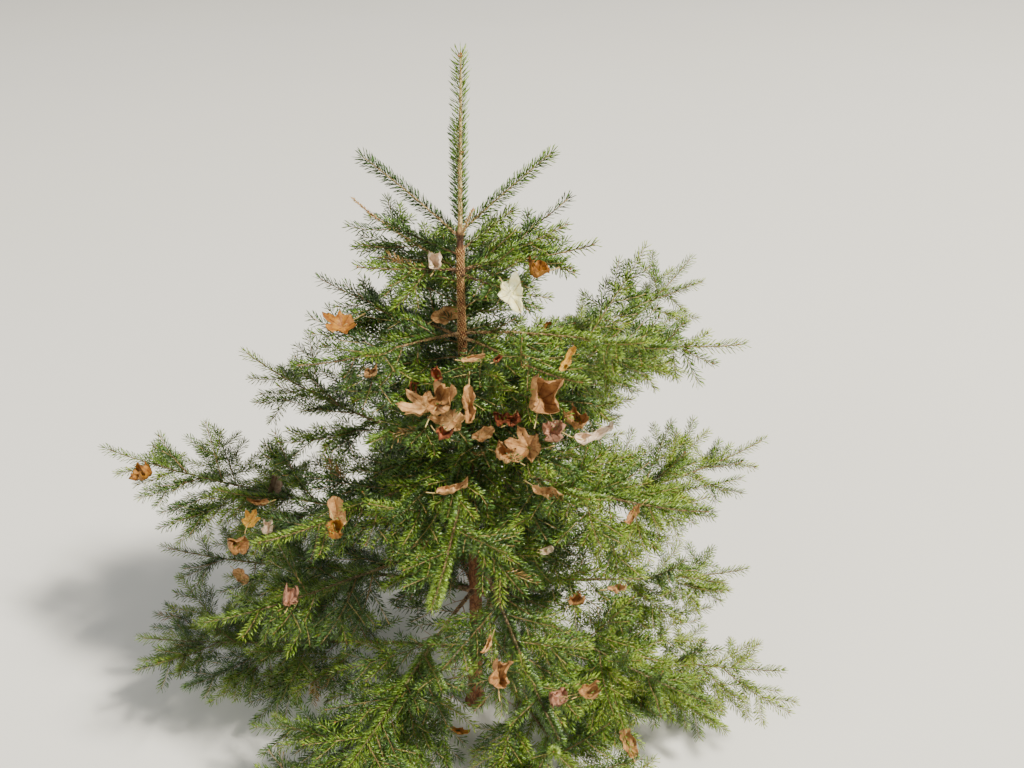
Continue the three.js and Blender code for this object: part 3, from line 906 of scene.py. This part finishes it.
def bud_piece(crown, material):
    spots, ways, sizes = [], [], []

    def bud(spot, way, size):
        spots.append(spot)
        ways.append(way / np.linalg.norm(way))
        sizes.append(np.array(BUD_SIZE) * size)

    for shoot in crown:
        tip, way = along(shoot.path, TWIG_END)
        size = drawn(BUD_UNEVEN, *shoot.keys, 21) * (1 if shoot.order < 2 else FINE_BUD)
        bud(tip - way, way, size)
        if shoot.order == 0:
            flat = np.cross(way, (0, 0, 1.0))
            for half in EITHER_WAY:
                bud(tip - SIDE_BUD_BACK * way, way + SIDE_BUD_OUT * half * flat, SIDE_BUD * size)
    top = trunk_axis(HEIGHT - BUD)
    for k in range(TOP_BUDS):
        turn = 2 * math.pi * k / TOP_BUDS
        spot = top + towards(turn, 0) * TOP_BUD_OUT - (0, 0, TOP_BUD_SUNK)
        bud(spot, towards(turn, TOP_BUD_RISE), TOP_BUD)
    bud(top, np.array([0, 0, 1.0]), LAST_BUD)
    for k, z in enumerate(LEADER_BUD_HEIGHTS):
        turn = GOLDEN_TURN * k + LEADER_BUD_TURN
        spot = trunk_axis(z) + towards(turn, 0) * (trunk_radius(z) - LEADER_BUD_SUNK)
        bud(spot, towards(turn, LEADER_BUD_RISE), 1.0)
    made = copies(*spindle(0.35, 0.45, 4), *map(np.array, (spots, ways, sizes)), np.zeros(len(spots)))
    return array_object("buds", *made, material)


# Dead wood
DEAD_SPACING = 26
DEAD_REACH = (18, 46)
DEAD_ANGLE = (38, 72)
DEAD_HANG = (-25, 30)
DEAD_FINE_FOOT = 0.8
DEAD_MOST = 0.8  # a fine twig's length, as a share of its parent's
SNAG_COUNT = 4  # dead twigs on the bare part of a bough
SNAG_ROOM = 60  # where that is at least this long
SNAG_FIRST, SNAG_JITTER = 0.3, 0.6
SNAG_REACH = (28, 75)
SNAG_HANG, SNAG_DROOP = (-20, 40), 12
SNAG_FOOT = 1.1


def dead_piece(stems, material):
    """The dead twigs low on the trunk and on the bare part of the boughs, with their own fine twigs."""
    shoots = []
    for n, (height, bough) in enumerate(DEAD_BOUGHS):
        path = bough_path(bough, height)
        path = np.concatenate([[path[0] - along(path, 0)[1] * SUNK], path])
        shoots.append(Shoot(path, bough[1], DEAD_FOOT, 1, (91, n)))
    for stem in stems:
        if stem.bare * stem.reach < SNAG_ROOM:
            continue
        for n in range(SNAG_COUNT):
            keys = (*stem.keys, 92, n)
            share = stem.bare * (n + SNAG_FIRST + SNAG_JITTER * chance(*keys, 1)) / SNAG_COUNT
            tilt = drawn(SNAG_HANG, *keys, 4)
            shoots.append(offshoot(stem, share, swing(DEAD_ANGLE, n, *keys, 3), (tilt, tilt + SNAG_DROOP),
                                   drawn(SNAG_REACH, *keys, 2), SNAG_FOOT, keys))
    fine = []
    for shoot in shoots:
        for k in range(int(shoot.reach / DEAD_SPACING)):
            keys = (*shoot.keys, 93, k)
            share = (k + 0.5 + 0.5 * chance(*keys, 1)) * DEAD_SPACING / shoot.reach
            tilt = drawn(DEAD_HANG, *keys, 4)
            reach = min(drawn(DEAD_REACH, *keys, 2), DEAD_MOST * shoot.reach)
            fine.append(offshoot(shoot, share, swing(DEAD_ANGLE, k, *keys, 3), (tilt, tilt), reach,
                                 DEAD_FINE_FOOT, keys, 2, FINE_STEPS))
    return twig_piece("dead_twigs", shoots + fine, material)


# Dry leaves caught in the crown
LEAF_SIDES = 48
LEAF_RINGS = 5
LEAF_THICK = 0.012  # of its length
LEAF_LIFT = 3  # of its lowest parts above the twig
LEAF_NEAR = 7  # a leaf lies on the nearest twig that passes its line of sight this closely,
LEAF_REST = 0.38  # or this closely as a share of its length,
LEAF_OFF = 0.2  # and its middle is no further from that twig than this share
LEAF_STALK = 0.75  # a stalk's length, as a share of the leaf's
LEAF_STALK_RADIUS = 0.6
LEAF_STALK_TAPER = np.linspace(1, 1.5, 5)  # factors on that, from the leaf to the stalk's end
LEAF_STALK_RISE = 0.3  # how far a stalk bends to the leaf's upper side
LEAF_SPREAD = 0.35  # how far a leaf's face and its stalk stray by chance
LEAF_LOW = 0.1  # share of a leaf's corners that count as its lowest parts
TOOTH = (15, 0.74)  # angle between a lobe's tip and its teeth, and their length as a share of the lobe's
TOOTH_WIDTH = 11
RAGGED, RAGGED_STEP = 0.09, 9  # how uneven the outline is, and over how many degrees
RIB_RISE, RIB_STEP = 0.12, 26  # how far a leaf rises between its ribs, and within how many degrees
CRUMPLES = ((1, 3), (0.55, 8))  # depths and finenesses of its crumples
UV_SPAN = 2.2  # width of the square that its veins are drawn in, in lengths of the leaf


class LeafForm(NamedTuple):
    """A leaf's outline and how it dried. Lobes are (angle, length), and lengths are shares of the leaf's."""

    lobes: tuple
    width: float  # half the angle that a lobe covers
    base: float  # reach of the outline between lobes
    roll: float  # radius that it is rolled to across its middle vein
    curl: float  # radius that it is bent to along its middle vein
    crumple: float


def five_lobes(side, rear):
    return ((0, 1), (52.5, side), (-52.5, side), (105, rear), (-105, rear))


LEAF_FORMS = {
    "lobed": LeafForm(five_lobes(0.86, 0.55), 27, 0.36, 0.6, 0.9, 0.14),
    "shrunk": LeafForm(five_lobes(0.9, 0.6), 34, 0.44, 0.28, 0.4, 0.2),
    "bell": LeafForm(five_lobes(0.95, 0.8), 40, 0.6, 0.34, 0.4, 0.14),
    "oval": LeafForm(((0, 1), (180, 0.5)), 105, 0.34, 0.4, 1.0, 0.16),
    "strip": LeafForm(((0, 1), (60, 0.4), (-75, 0.45), (180, 0.5)), 55, 0.26, 0.16, 0.6, 0.12),
    "half": LeafForm(((0, 1), (120, 1), (45, 0.52), (82.5, 0.6), (-120, 0.5), (180, 0.6)),
                     40, 0.36, 0.9, 1.2, 0.08),
}
LEAF_TINTS = {
    "cream": ((0.94, 0.93, 0.60), (0.86, 0.78, 0.36)),
    "pale": ((0.82, 0.67, 0.52), (0.64, 0.46, 0.31)),
    "pink": ((0.42, 0.21, 0.13), (0.27, 0.12, 0.07)),
    "tan": ((0.62, 0.37, 0.15), (0.42, 0.20, 0.07)),
    "orange": ((0.38, 0.17, 0.015), (0.23, 0.08, 0.01)),
    "rust": ((0.32, 0.075, 0.018), (0.17, 0.04, 0.012)),
    "bronze": ((0.44, 0.23, 0.075), (0.25, 0.11, 0.035)),
    "amber": ((0.66, 0.38, 0.04), (0.42, 0.19, 0.025)),
    "grey": ((0.34, 0.25, 0.17), (0.20, 0.13, 0.08)),
}


class Leaf(NamedTuple):
    """One caught leaf. Its tip points along heading in the picture, where 0 is right and 90 is up."""

    x: int  # the pixel where its middle shows
    y: int
    length: float
    form: str
    tint: str
    heading: float
    upright: float = 0.45  # 0 where it lies flat, facing up, and 1 where it faces the camera


LEAVES = [Leaf(*row) for row in [
    (436, 261, 26, "bell", "pale", 90, 0.7), (510, 297, 34, "half", "cream", 303, 1),
    (541, 270, 36, "shrunk", "orange", 200, 0.7), (440, 318, 34, "oval", "tan", 20, 0.8),
    (345, 320, 44, "lobed", "orange", 230, 0.6), (568, 360, 34, "strip", "amber", 60, 0.8),
    (370, 370, 24, "shrunk", "tan", 10, 0.7), (435, 375, 22, "shrunk", "rust", 120, 0.7),
    (414, 390, 22, "shrunk", "rust", 80, 0.7), (418, 406, 46, "lobed", "tan", 185),
    (438, 403, 50, "shrunk", "bronze", 60), (448, 416, 46, "lobed", "tan", 250),
    (469, 404, 54, "strip", "bronze", 275, 0.8), (470, 359, 28, "strip", "tan", 15, 0.7),
    (545, 325, 14, "oval", "orange", 30), (547, 401, 54, "bell", "bronze", 80, 0.75),
    (554, 434, 46, "shrunk", "pink", 280, 0.75), (577, 421, 36, "bell", "bronze", 130, 0.6),
    (590, 437, 50, "strip", "pale", 15, 0.6), (528, 447, 46, "lobed", "bronze", 170),
    (451, 485, 44, "strip", "tan", 10, 0.6), (543, 489, 48, "strip", "tan", 340, 0.6),
    (142, 468, 50, "shrunk", "orange", 345, 0.4), (275, 487, 34, "oval", "grey", 80, 0.8),
    (260, 500, 34, "strip", "bronze", 190), (251, 523, 26, "lobed", "amber", 60),
    (270, 528, 24, "bell", "pale", 90), (239, 546, 44, "shrunk", "bronze", 200, 0.7),
    (240, 572, 30, "oval", "tan", 330), (336, 512, 34, "oval", "tan", 100, 0.5),
    (339, 532, 36, "shrunk", "orange", 280, 0.6), (291, 597, 34, "shrunk", "pink", 80, 0.3),
    (546, 552, 18, "oval", "pale", 20), (575, 598, 30, "shrunk", "bronze", 40),
    (615, 590, 30, "strip", "tan", 340), (633, 511, 34, "strip", "bronze", 240),
    (488, 641, 28, "strip", "tan", 260, 0.8), (500, 676, 42, "shrunk", "bronze", 80, 0.7),
    (556, 694, 36, "shrunk", "pink", 190), (585, 692, 34, "shrunk", "bronze", 20),
    (628, 745, 34, "oval", "bronze", 100), (462, 731, 30, "strip", "orange", 340),
    (500, 420, 30, "shrunk", "rust", 200), (482, 437, 26, "oval", "tan", 20),
    (501, 452, 40, "shrunk", "tan", 160), (444, 434, 28, "shrunk", "rust", 330),
    (522, 365, 16, "oval", "tan", 100), (498, 357, 14, "shrunk", "rust", 45),
    (514, 420, 26, "shrunk", "rust", 20), (478, 452, 20, "strip", "tan", 10),
]]


def picture_axes():
    """The camera's right and up, and the way that it looks."""
    pitch = math.radians(PITCH)
    return (np.array([1.0, 0, 0]), np.array([0, math.sin(pitch), math.cos(pitch)]),
            np.array([0, math.cos(pitch), -math.sin(pitch)]))


def resting_place(leaf, spots, above):
    """Where a leaf's middle lies: over the nearest to the camera of the twigs that show at its pixel."""
    right, up, ahead = picture_axes()
    eye = np.array(CAMERA) / MM - above
    ray = unit(ahead * LENS_PIXELS + right * (leaf.x - IMAGE_WIDTH / 2) - up * (leaf.y - IMAGE_HEIGHT / 2))
    depth = (spots - eye) @ ray
    off = np.linalg.norm(spots - eye - depth[:, None] * ray, axis=1)
    near = np.flatnonzero(off < max(LEAF_NEAR, LEAF_REST * leaf.length, off.min() + 1))
    chosen = near[np.argmin(depth[near])]
    seen = eye + ray * depth[chosen]
    moved = min(1, LEAF_OFF * leaf.length / max(off[chosen], 0.1))
    return above + spots[chosen] + (seen - spots[chosen]) * moved


def degrees_off(turn):
    return abs((turn + 180) % 360 - 180)


def leaf_outline(form, angle):
    """How far a leaf reaches at an angle from its tip, in degrees."""
    reach = form.base
    for middle, length in form.lobes:
        for side in (-1, 0, 1):
            off = degrees_off(angle - middle - side * TOOTH[0]) / (TOOTH_WIDTH if side else form.width)
            point = length * (TOOTH[1] if side else 1)
            reach = max(reach, form.base + (point - form.base) * max(0, 1 - off))
    return reach


def leaf_sheet(bm, leaf, keys):
    """A flat leaf of rings, dried into its shape. Gives its corners with their flat places."""
    form = LEAF_FORMS[leaf.form]
    sheet = bmesh.ops.create_circle(
        bm, cap_ends=True, cap_tris=True, segments=LEAF_SIDES, radius=1 / LEAF_RINGS)["verts"]
    rim = list(dict.fromkeys(edge for vert in sheet for edge in vert.link_edges if edge.is_boundary))
    for ring in range(1, LEAF_RINGS):
        grown = bmesh.ops.extrude_edge_only(bm, edges=rim)["geom"]
        corners = [item for item in grown if isinstance(item, bmesh.types.BMVert)]
        rim = [item for item in grown if isinstance(item, bmesh.types.BMEdge) and item.is_boundary]
        bmesh.ops.scale(bm, vec=[(ring + 1) / ring] * 3, verts=corners)
        sheet += corners
    flat = {}
    seed = 40 * chance(*keys, 1)
    for vert in sheet:
        angle = math.degrees(math.atan2(vert.co.y, vert.co.x))
        ragged = 1 + RAGGED * noise.noise(Vector((angle / RAGGED_STEP, seed, 0)))
        u, v = (c * leaf_outline(form, angle) * ragged for c in vert.co.xy)
        flat[vert] = (0.5 + u / UV_SPAN, 0.5 + v / UV_SPAN)
        ribs = min(degrees_off(angle - middle) for middle, _ in form.lobes)
        rise = RIB_RISE * math.hypot(u, v) * min(1, ribs / RIB_STEP)
        for depth, fine in CRUMPLES:
            rise += depth * form.crumple * noise.noise(Vector((fine * u, fine * v, seed)))
        turn = v / form.roll
        bent = u / form.curl
        across_it = (form.roll - rise) * math.sin(turn)
        rise = form.roll - (form.roll - rise) * math.cos(turn)
        rise += form.curl * (1 - math.cos(bent))
        vert.co = Vector((form.curl * math.sin(bent), across_it, rise)) * leaf.length
    return flat


def caught_leaves(crown, materials, stalk_material):
    """The leaves, a piece for each tint, and their stalks."""
    spots = np.concatenate([stretch(s.path, 0.05, 1, max(4, int(s.reach / 4))) for s in crown])
    meshes = {tint: bmesh.new() for tint in LEAF_TINTS}
    stalks = []
    right, up, ahead = picture_axes()
    for n, leaf in enumerate(LEAVES):
        keys = (96, n)
        loose = [LEAF_SPREAD * drawn(EITHER_WAY, *keys, 2 + k) for k in range(3)]
        face = unit(-leaf.upright * ahead + np.array([0, 0, 1 - leaf.upright]) + loose)
        heading = math.radians(leaf.heading)
        along_it = right * math.cos(heading) + up * math.sin(heading)
        along_it = unit(along_it - face * (along_it @ face))
        aside = np.cross(face, along_it)
        bm = meshes[leaf.tint]
        flat = leaf_sheet(bm, leaf, keys)
        sheet = np.array([vert.co for vert in flat])
        over = np.mean(sheet[:, 2]) - np.quantile(sheet[:, 2], LEAF_LOW)
        centre = np.mean(sheet, axis=0) @ np.array([along_it, aside, face])
        middle = resting_place(leaf, spots, (over + LEAF_LIFT) * face) - centre
        uv = bm.loops.layers.uv.verify()
        turned = Matrix((along_it, aside, face)).transposed()
        for vert, place in flat.items():
            vert.co = turned @ vert.co + Vector(middle)
            for loop in vert.link_loops:
                loop[uv].uv = place
        faces = dict.fromkeys(each for vert in flat for each in vert.link_faces)
        bmesh.ops.solidify(bm, geom=list(faces), thickness=LEAF_THICK * leaf.length)
        bend = aside * LEAF_SPREAD * drawn(EITHER_WAY, *keys, 6) + face * LEAF_STALK_RISE
        stalk = [(along_it * -f + bend * f * f) * LEAF_STALK * leaf.length
                 for f in np.linspace(0, 1, len(LEAF_STALK_TAPER))]
        stalks.append(tube_arrays(middle + np.array(stalk), LEAF_STALK_TAPER * LEAF_STALK_RADIUS, 4))
    pieces = [finished(f"leaves_{tint}", bm, materials[tint]) for tint, bm in meshes.items()]
    return pieces + [array_object("leaf_stalks", *joined(stalks), stalk_material)]


# Materials
COLOR, VALUE, VECTOR = "NodeSocketColor", "NodeSocketFloat", "NodeSocketVector"
EDGES = {"feature": "DISTANCE_TO_EDGE"}


class Nodes:
    """A material or node group being wired up."""

    def __init__(self, tree):
        self.tree = tree
        self.place = None  # where a material reads its patterns

    def add(self, kind, settings=None, **inputs):
        """A node with its settings, and its inputs by name: a value, or another node's output."""
        node = self.tree.nodes.new("ShaderNode" + kind)
        for name, value in (settings or {}).items():
            setattr(node, name, value)
        for name, value in inputs.items():
            self.feed(node.inputs[name.replace("_", " ")], value)
        return node

    def feed(self, socket, value):
        if isinstance(value, bpy.types.NodeSocket):
            self.tree.links.new(value, socket)
        else:
            colored = isinstance(value, tuple) and socket.type == "RGBA"
            socket.default_value = (*value, 1) if colored else value

    def math(self, operation, *values, kind="Math"):
        node = self.add(kind, {"operation": operation})
        for socket, value in zip(node.inputs, values):
            self.feed(socket, value)
        return node.outputs[0]

    def mix(self, factor, under, over, blend="MIX"):
        node = self.add("Mix", {"data_type": "RGBA", "blend_type": blend}, Factor=factor)
        self.feed(node.inputs[6], under)
        self.feed(node.inputs[7], over)
        return node.outputs[2]

    def ranged(self, value, low, high, start=0.0, end=1.0, ease="LINEAR"):
        """A value led from one range to another."""
        return self.add("MapRange", {"interpolation_type": ease}, Value=value, From_Min=low, From_Max=high,
                        To_Min=start, To_Max=end).outputs[0]

    def use(self, group, **inputs):
        """The outputs of a shared group, which reads at the material's place unless it is told another."""
        inputs = {"Vector": self.place, **inputs}
        return self.add("Group", {"node_tree": bpy.data.node_groups[group]}, **inputs).outputs

    def mottled(self, scale, amount, softness, ground, patch):
        inputs = {"Scale": scale, "Amount": amount, "Softness": softness, "Ground": ground, "Patch": patch}
        return self.use("mottle", **inputs)["Color"]

    def film(self, scale, smooth, rough):
        return self.use("skin film", Scale=scale, Smooth=smooth, Rough=rough)

    def surface(self, shader, roughness, height, distance):
        """Gives a shader its gloss and its relief."""
        self.feed(shader.inputs["Roughness"], roughness)
        relief = self.add("Bump", Height=height, Distance=distance, Strength=1.0)
        self.feed(shader.inputs["Normal"], relief.outputs[0])


def node_group(name, inputs, outputs):
    """A shader node group to be filled in. It reads at a vector, and has these other inputs."""
    tree = bpy.data.node_groups.new(name, "ShaderNodeTree")
    tree.interface.new_socket(name="Vector", in_out="INPUT", socket_type=VECTOR)
    for label, value in inputs.items():
        kind = COLOR if isinstance(value, tuple) else VALUE
        socket = tree.interface.new_socket(name=label, in_out="INPUT", socket_type=kind)
        socket.default_value = (*value, 1) if kind == COLOR else value
    for label, kind in outputs.items():
        tree.interface.new_socket(name=label, in_out="OUTPUT", socket_type=kind)
    return Nodes(tree), tree.nodes.new("NodeGroupInput").outputs, tree.nodes.new("NodeGroupOutput").inputs


def mottle_group():
    """Two colours in soft patches."""
    inputs = {"Scale": 5, "Amount": 0.5, "Softness": 0.1}
    inputs |= {"Ground": (0.2, 0.1, 0.05), "Patch": (0.4, 0.3, 0.2)}
    nodes, given, out = node_group("mottle", inputs, {"Color": COLOR})
    cloud = nodes.add("TexNoise", Vector=given["Vector"], Scale=given["Scale"], Detail=5, Roughness=0.62)
    low = nodes.math("SUBTRACT", given["Amount"], given["Softness"])
    high = nodes.math("ADD", given["Amount"], given["Softness"])
    mask = nodes.ranged(cloud.outputs[0], low, high, ease="SMOOTHSTEP")
    nodes.feed(out["Color"], nodes.mix(mask, given["Ground"], given["Patch"]))


def scale_group():
    """Bark scales, longer than wide: the height of each and the cracks between them."""
    inputs = {"Scale": 140, "Crack": 0.12}
    nodes, given, out = node_group("bark scales", inputs, {"Height": VALUE, "Crack": VALUE})
    longer = nodes.add("Mapping", Vector=given["Vector"], Scale=(1, 1, 0.5)).outputs[0]
    bend = nodes.add("TexNoise", Vector=longer, Scale=90, Detail=3).outputs["Color"]
    push = nodes.math("MULTIPLY_ADD", bend, (0.006, 0.006, 0.006), longer, kind="VectorMath")
    cells = nodes.add("TexVoronoi", EDGES, Vector=push, Scale=given["Scale"])
    plate = nodes.ranged(cells.outputs["Distance"], 0.0, given["Crack"])
    nodes.feed(out["Height"], plate)
    nodes.feed(out["Crack"], nodes.math("SUBTRACT", 1.0, plate))


def film_group():
    """The uneven gloss and fine grain of a waxy or woody skin."""
    inputs = {"Scale": 300, "Smooth": 0.3, "Rough": 0.5}
    nodes, given, out = node_group("skin film", inputs, {"Roughness": VALUE, "Height": VALUE})
    cloud = nodes.add("TexNoise", Vector=given["Vector"], Scale=given["Scale"], Detail=4).outputs[0]
    nodes.feed(out["Roughness"], nodes.ranged(cloud, 0.3, 0.7, given["Smooth"], given["Rough"]))
    nodes.feed(out["Height"], cloud)


def vein_group():
    """The veins that fan out from a leaf's stalk and the fine net between them."""
    nodes, given, out = node_group("leaf veins", {"Veins": 7, "Net": 34}, {"Height": VALUE, "Vein": VALUE})
    split = nodes.add("SeparateXYZ", Vector=given["Vector"]).outputs
    u, v = (nodes.math("SUBTRACT", split[axis], 0.5) for axis in "XY")
    fan = nodes.math("MULTIPLY", nodes.math("ARCTAN2", v, u), given["Veins"])
    vein = nodes.ranged(nodes.math("COSINE", fan), 0.94, 1.0)
    net = nodes.add("TexVoronoi", EDGES, Vector=given["Vector"], Scale=given["Net"])
    nodes.feed(out["Height"], nodes.math("ADD", vein, net.outputs["Distance"]))
    nodes.feed(out["Vein"], vein)


def material(name):
    """A new material, its nodes and its shader."""
    made = bpy.data.materials.new(name)
    made.use_nodes = True
    nodes = Nodes(made.node_tree)
    nodes.place = nodes.add("TexCoord").outputs["Object"]
    return made, nodes, made.node_tree.nodes["Principled BSDF"]


# Heights in metres
OLD_BARK = (0.25, 0.75)  # old bark passes into young bark between these
LEADER_BARK = (0.905, 0.925)  # and that into the leader's between these
RING_HEIGHTS = (0.898, 0.852)  # of the dark rings under the leader
RING_FADE = (0.006, 0.014)  # distances from its middle at which a ring starts to fade, and ends
RING_SHARE = 0.85  # of its own tone
RING_TONE = (0.075, 0.032, 0.016)
CRACK_TONE = (0.45, 0.36, 0.32)
VEIN_TONE = (0.7, 0.6, 0.5)


def bark_material(name, ground, patch, young, newest):
    """Bark that is scaly and brown low down, more orange higher up, and smooth and pale on the leader."""
    made, nodes, shader = material(name)
    height = nodes.add("SeparateXYZ", Vector=nodes.place).outputs["Z"]
    old = nodes.mottled(70.0, 0.52, 0.12, ground, patch)
    fresh = nodes.mottled(160.0, 0.5, 0.1, young, ground)
    leader = nodes.mottled(210.0, 0.6, 0.1, newest, young)
    mixed = nodes.mix(nodes.ranged(height, *OLD_BARK), old, fresh)
    mixed = nodes.mix(nodes.ranged(height, *LEADER_BARK), mixed, leader)
    for ring_height in RING_HEIGHTS:
        off = nodes.math("ABSOLUTE", nodes.math("SUBTRACT", height, ring_height))
        mixed = nodes.mix(nodes.ranged(off, *RING_FADE, RING_SHARE, 0.0), mixed, RING_TONE)
    scales = nodes.use("bark scales", Scale=150.0, Crack=0.14)
    film = nodes.film(500.0, 0.7, 0.95)
    nodes.feed(shader.inputs["Base Color"], nodes.mix(scales["Crack"], mixed, CRACK_TONE, "MULTIPLY"))
    relief = nodes.math("MULTIPLY_ADD", film["Height"], 0.5, scales["Height"])
    nodes.surface(shader, film["Roughness"], relief, 0.0008)
    return made


def twig_material(name, ground, patch):
    made, nodes, shader = material(name)
    film = nodes.film(900.0, 0.55, 0.85)
    nodes.feed(shader.inputs["Base Color"], nodes.mottled(110.0, 0.5, 0.14, ground, patch))
    nodes.surface(shader, film["Roughness"], film["Height"], 0.0003)
    return made


def needle_material(tone):
    """A plain green for one tone of spray, under a waxy film that is uneven from needle to needle."""
    made, nodes, shader = material(f"needles {tone}")
    shader.inputs["Base Color"].default_value = (*TONES[tone], 1)
    shader.inputs["Coat Roughness"].default_value = 0.25
    shader.inputs["Coat Weight"].default_value = 0.5
    film = nodes.film(220.0, 0.22, 0.42)
    nodes.surface(shader, film["Roughness"], film["Height"], 0.0002)
    return made


def leaf_material(tint):
    """A dry leaf, blotched and dull, with veins that stand out a little."""
    made, nodes, shader = material(f"dry leaf {tint}")
    veins = nodes.use("leaf veins", Vector=nodes.add("UVMap").outputs[0])
    film = nodes.film(400.0, 0.5, 0.8)
    blotched = nodes.mottled(130.0, 0.5, 0.16, *LEAF_TINTS[tint])
    nodes.feed(shader.inputs["Base Color"], nodes.mix(veins["Vein"], blotched, VEIN_TONE, "MULTIPLY"))
    nodes.surface(shader, film["Roughness"], veins["Height"], 0.0008)
    return made


# Camera, light and floor
LENS_PIXELS = 985
IMAGE_WIDTH, IMAGE_HEIGHT = 1024, 768
SENSOR = 36
CAMERA = (0.067, -1.27, 1.4)
PITCH = 30
FLOOR_REACH = 30
FLOOR_TONES = (0.74, 0.74, 0.72), (0.76, 0.76, 0.75)
SKY, SKY_STRENGTH = (1, 0.99, 0.96, 1), 0.38
LIGHT_AIM = (0, 0, 0.5)
LIGHTS = [  # place, size, power and colour
    ("key", (11.0, -5.0, 15.0), 2.2, 9600, (1, 0.93, 0.78)),
    ("fill", (-6.0, -6.0, 5.0), 5.0, 330, (1, 1, 0.88)),
]


def camera():
    data = bpy.data.cameras.new("camera")
    data.sensor_width = SENSOR
    data.lens = LENS_PIXELS * SENSOR / IMAGE_WIDTH
    made = linked("camera", data)
    made.location = CAMERA
    made.rotation_euler = (math.radians(90 - PITCH), 0, 0)
    bpy.context.scene.camera = made


def area_light(name, place, size, power, color):
    data = bpy.data.lights.new(name, "AREA")
    data.size = size
    data.energy = power
    data.color = color
    made = linked(name, data)
    made.location = place
    made.rotation_euler = (Vector(LIGHT_AIM) - Vector(place)).to_track_quat("-Z", "Y").to_euler()


def studio():
    bm = bmesh.new()
    bmesh.ops.create_grid(bm, x_segments=1, y_segments=1, size=FLOOR_REACH)
    mesh = bpy.data.meshes.new("floor")
    bm.to_mesh(mesh)
    bm.free()
    made, nodes, shader = material("floor")
    nodes.feed(shader.inputs["Base Color"], nodes.mottled(0.6, 0.5, 0.3, *FLOOR_TONES))
    shader.inputs["Roughness"].default_value = 0.95
    placed("floor", mesh, made)
    world = bpy.data.worlds.new("studio")
    world.use_nodes = True
    background = world.node_tree.nodes["Background"]
    background.inputs["Color"].default_value = SKY
    background.inputs["Strength"].default_value = SKY_STRENGTH
    bpy.context.scene.world = world
    for light in LIGHTS:
        area_light(*light)


def dress(piece, slot, *nodes):
    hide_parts(*nodes)
    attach(piece, "root")


for make_group in (mottle_group, scale_group, film_group, vein_group):
    make_group()
camera()
studio()
crown = [shoot for tier, whorl in enumerate(WHORLS) for place in range(len(whorl.boughs))
         for shoot in grow_mass(tier, place)]
crown += branched(trunk_shoots())
stems = [shoot for shoot in crown if shoot.order == 0]
masses = [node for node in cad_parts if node.startswith("foliage_")]
limbs = [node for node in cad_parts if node.startswith("bough_")]

trunk_bark = bark_material("trunk bark", (0.20, 0.07, 0.028), (0.32, 0.16, 0.07), (0.25, 0.14, 0.05),
                           (0.66, 0.50, 0.22))
bough_bark = bark_material("bough bark", (0.21, 0.13, 0.07), (0.34, 0.24, 0.15), (0.42, 0.27, 0.12),
                           (0.55, 0.40, 0.18))
twig_bark = twig_material("twig bark", (0.34, 0.23, 0.09), (0.22, 0.14, 0.06))
shoot_bark = twig_material("young twig bark", (0.50, 0.40, 0.15), (0.40, 0.26, 0.09))
peg_bark = twig_material("needle seats", (0.70, 0.46, 0.19), (0.50, 0.27, 0.10))
bud_skin = twig_material("bud scales", (0.50, 0.21, 0.06), (0.36, 0.14, 0.05))
dead_bark = twig_material("dead twig bark", (0.26, 0.14, 0.075), (0.40, 0.26, 0.15))
tones = {tone: needle_material(tone) for tone in TONES}

dress(trunk_piece(trunk_bark), "bark", "trunk")
dress(limb_piece(stems, bough_bark), "bark", *limbs, *masses)
dress(seat_piece(stems, peg_bark), "bark", "trunk", *limbs)
dress(twig_piece("twigs", [s for s in crown if s.order == 1], twig_bark), "bark", *masses)
dress(twig_piece("young_twigs", [s for s in crown if s.order > 1], shoot_bark), "bark", *masses)
dress(dead_piece(stems, dead_bark), "bark", "trunk", *limbs)
dress(bud_piece(crown, bud_skin), "needles", "leader_needles", *masses)
for piece in needle_pieces(crown, tones):
    dress(piece, "needles", "leader_needles", *masses)
leaf_skins = {tint: leaf_material(tint) for tint in LEAF_TINTS}
for piece in caught_leaves(crown, leaf_skins, shoot_bark):
    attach(piece, "root")
